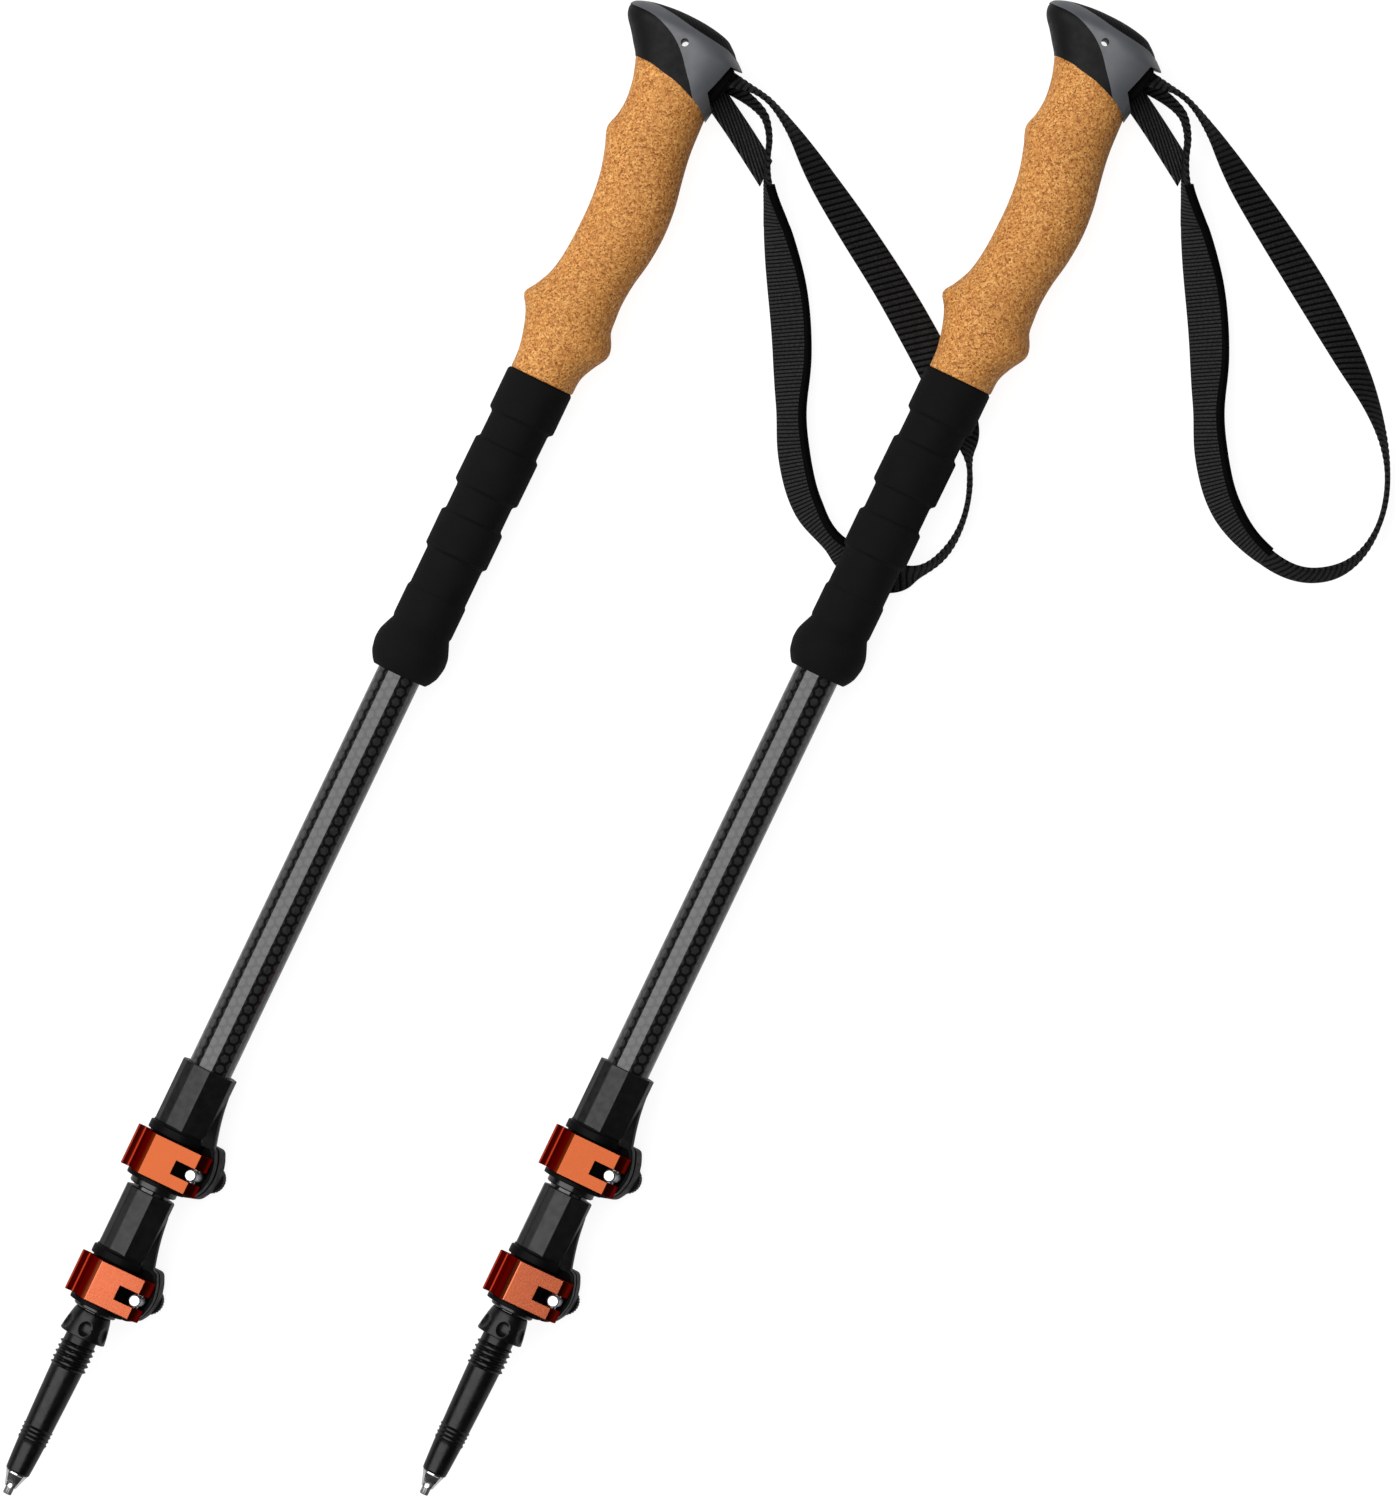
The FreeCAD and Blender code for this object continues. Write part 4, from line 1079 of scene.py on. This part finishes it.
def clamp_lever(level):
    """Cam lever: flat face, curved side with a finger lip, and a fork about the bolt."""
    outer = CLAMP_TUBE[level]
    shift = outer - UPPER_RADIUS
    inner = outer + COLLAR_WALL + LEVER_GAP
    tilt = math.radians(BOLT_TILT)
    pivot = (BOLT_OFFSET - PIVOT_HEIGHT * math.sin(tilt), PIVOT_HEIGHT * math.cos(tilt))
    lip = rounded([(x - shift, z) for x, z in LEVER_LIP], 0.7, closed=False)
    outline = [(15.4, 13.5), (12.5, 15.12), (12.0, 15.4), *lip, *arc(0, 0, inner, 157, 44, 18),
               *arc(*pivot, CAM_RADIUS, 205, 372, 14)]
    half = LEVER_ZONE / 2 - LEVER_GAP
    middle = LOW_RING + LEVER_ZONE / 2
    plate = prism(outline, middle - half, middle + half)
    slot = prism([(FORK_ROOT, -30), (30, -30), (30, 30), (FORK_ROOT, 30)],
                 BOLT_STATION - FORK_HALF, BOLT_STATION + FORK_HALF)
    plate = bevelled(combined(plate, ("DIFFERENCE", slot)), 0.4, 3, 34)
    # 1 on the flat face; elsewhere the lever's material paints shade in dark red.
    pale = plate.verts.layers.float.new("pale")
    for vert in plate.verts:
        vert[pale] = float(vert.co.z > FACE_ABOVE and FACE_FROM - shift < vert.co.x < FACE_TO)
    return moved(plate, clamp_matrix(level))


def clamp_nut(level):
    """Thumb nut with a knurled rim and a dished outer face, turned on the bolt."""
    teeth, depth = 30, 0.42
    bore = 2.0 + FREE
    profile = rounded([(bore, NUT_BOTTOM), (3.4, NUT_BOTTOM), (4.0, NUT_BOTTOM + 0.5),
                       (4.6, NUT_BOTTOM), (NUT_RADIUS - 0.5, NUT_BOTTOM),
                       (NUT_RADIUS, NUT_BOTTOM + 0.7), (NUT_RADIUS, NUT_TOP - 0.7),
                       (NUT_RADIUS - 0.6, NUT_TOP), (bore, NUT_TOP)], 0.3, 2)

    def knurl(radius, y, angle):
        if radius < NUT_RADIUS - 0.3:
            return radius
        return radius - depth * (0.5 - 0.5 * math.cos(teeth * angle))
    nut = lathe(profile, teeth * 8, knurl)
    return moved(nut, clamp_matrix(level) @ bolt_matrix(BOLT_STATION) @ UPRIGHT)


def clamp(level, riding):
    """The pieces of a clamp on both poles; riding is the body that its collar is on."""
    def piece(name, mesh, body, finish, nodes=(), crease=35, slot="clamp_plastic"):
        nodes = [f"{level}_{node}" for node in nodes]
        on_both(f"{level}_{name}", mesh, body, finish, nodes, crease)

    housing, collar, shade_sheet = clamp_body(level)
    piece("clamp_housing", housing, riding, "clamp_plastic", ["clamp_body"])
    piece("clamp_collar", collar, riding, "dull_plastic")
    # The sheet on the ear takes the dark matt slot plastic as painted shade.
    piece("ear_shade_sheet", shade_sheet, riding, "slot_plastic")
    piece("cam_lever", clamp_lever(level), f"{level}_lever", f"{level}_lever_orange",
          ["clamp_lever"], slot="lever_orange")
    piece("thumb_nut", clamp_nut(level), f"{level}_nut", "dull_plastic", ["clamp_nut"], 45)


for clamp_level, clamp_riding in CLAMP_BODY.items():
    clamp(clamp_level, clamp_riding)


# ------------ tip

# Shaft of the tip: place along the pole, radius.
TIP_SHAFT = ((9.5, 4.3), (9.7, 4.8), (10.4, 5.05), (20.0, 5.6), (24.0, 5.75), (35.0, 6.1),
             (50.0, 6.5), (56.0, 6.6), (70.0, 6.5))
THREAD_START, THREAD_END, THREAD_PITCH = 55.6, 67.4, 2.35
THREAD_ROOT, THREAD_CREST = 6.6, 7.6
RIB_START, RIB_END, RIB_PITCH, RIB_HEIGHT = 23.4, 30.6, 1.8, 0.42
COLLAR = ((70.0, 9.2), (70.3, 9.6), (71.0, 9.55), (74.0, 9.1), (78.0, 8.3), (80.6, 7.6),
          (81.0, 7.2))
DIMPLES, DIMPLE_STATION, DIMPLE_ACROSS, DIMPLE_ALONG, DIMPLE_DEPTH = 6, 74.2, 2.7, 3.1, 1.2


def tip_shaft():
    """Tapered shaft with a helical basket thread, small grip ribs and a dimpled collar."""
    profile = []
    row = TIP_SHAFT[0][0]
    while row < COLLAR[0][0]:
        profile.append((follow(TIP_SHAFT, row)[0], row))
        ribbed = THREAD_START - 0.4 < row < THREAD_END + 0.4 or RIB_START < row < RIB_END
        row += 0.2 if ribbed or row < 10.5 else 1.0
    start, end = COLLAR[0][0], COLLAR[-1][0]
    profile.append((6.5, start))
    for step in range(41):
        y = start + (end - start) * step / 40
        profile.append((follow(COLLAR, y)[0], y))
    inner = LOWER_RADIUS + 0.02
    profile += [(inner, end), (inner, 73.0), (0.3, 73.0), (0.3, 20.0), (3.0, 20.0), (3.0, 9.5)]

    def shape(radius, y, angle):
        if radius <= 3.0 or radius == inner:
            return radius
        if THREAD_START < y < THREAD_END:
            turn = ((y - THREAD_START) / THREAD_PITCH - angle / (2 * math.pi)) % 1.0
            crest = max(0.0, 1 - abs(turn - 0.5) * 3.2) ** 0.8
            fade = min(1.0, (y - THREAD_START) / 0.8, (THREAD_END - y) / 0.8)
            return radius + (THREAD_CREST - THREAD_ROOT) * crest * fade
        if RIB_START < y < RIB_END:
            phase = math.sin(2 * math.pi * (y - RIB_START) / RIB_PITCH)
            return radius + RIB_HEIGHT * max(0.0, phase)
        if y >= start and radius > inner:
            gap = 2 * math.pi / DIMPLES
            offset = (angle + gap / 2) % gap - gap / 2
            reach = math.hypot(offset * radius / DIMPLE_ACROSS,
                               (y - DIMPLE_STATION) / DIMPLE_ALONG)
            if reach < 1:
                return radius - DIMPLE_DEPTH * (math.sqrt(1.25 - reach * reach) - 0.5) / 0.62
        return radius
    return lathe(profile, 168, shape)


def tip_holder():
    """Fluted metal holder that narrows to the carbide point."""
    profile = [(1.3, 3.0), (2.2, 3.0), (2.5, 3.3), (2.9, 4.6), (3.5, 6.4), (4.2, 8.4), (4.5, 8.9),
               (4.5, 9.4), (2.9, 9.5), (2.9, 19.9), (1.3, 19.9), (1.3, 8.0)]

    def fluted(radius, y, angle):
        if y > 8.6 or radius < 2.4:
            return radius
        depth = 0.24 * math.sin(math.pi * min(1.0, max(0.0, (y - 2.6) / 6.0))) ** 0.6
        return radius * (1 - depth * max(0.0, math.cos(2 * angle)) ** 0.7)
    return lathe(profile, 96, fluted)


def carbide_point():
    """Carbide point with a dished end and a notched rim."""
    profile = [(0.25, 0.75), (0.9, 0.55), (1.35, 0.1), (1.6, 0.0), (1.8, 0.4), (1.8, 2.9),
               (1.2, 3.0), (1.2, 7.9), (0.25, 7.9)]

    def notched(radius, y, angle):
        if radius < 1.5 or y > 2.6:
            return radius
        return radius - 0.16 * max(0.0, math.cos(8 * angle))
    return lathe(profile, 96, notched)


on_both("tip_shaft", tip_shaft(), "lower", "tip_plastic", ["tip_body"], 45)
on_both("fluted_holder", tip_holder(), "lower", "tip_metal", ["tip_holder"], 35)
on_both("carbide_point", carbide_point(), "lower", "carbide", ["carbide_tip"], 35)


# ------------ CAD parts that stay

KEPT = {
    "upper_tube": None, "middle_tube": None, "lower_tube": None,
    "middle_glide_bush": "bush_plastic", "lower_glide_bush": "bush_plastic",
    "upper_clamp_bolt": "steel", "lower_clamp_bolt": "steel",
    "upper_clamp_pivot_pin": "steel", "lower_clamp_pivot_pin": "steel",
    "upper_seal_ring": "seal_rubber", "lower_seal_ring": "seal_rubber",
}
for pole_side in SIDES:
    for node, finish_name in KEPT.items():
        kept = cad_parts[f"{pole_side}_{node}"]
        kept.data.materials.clear()
        kept.data.materials.append(MATERIALS[finish_name] if finish_name else CARBON[pole_side])
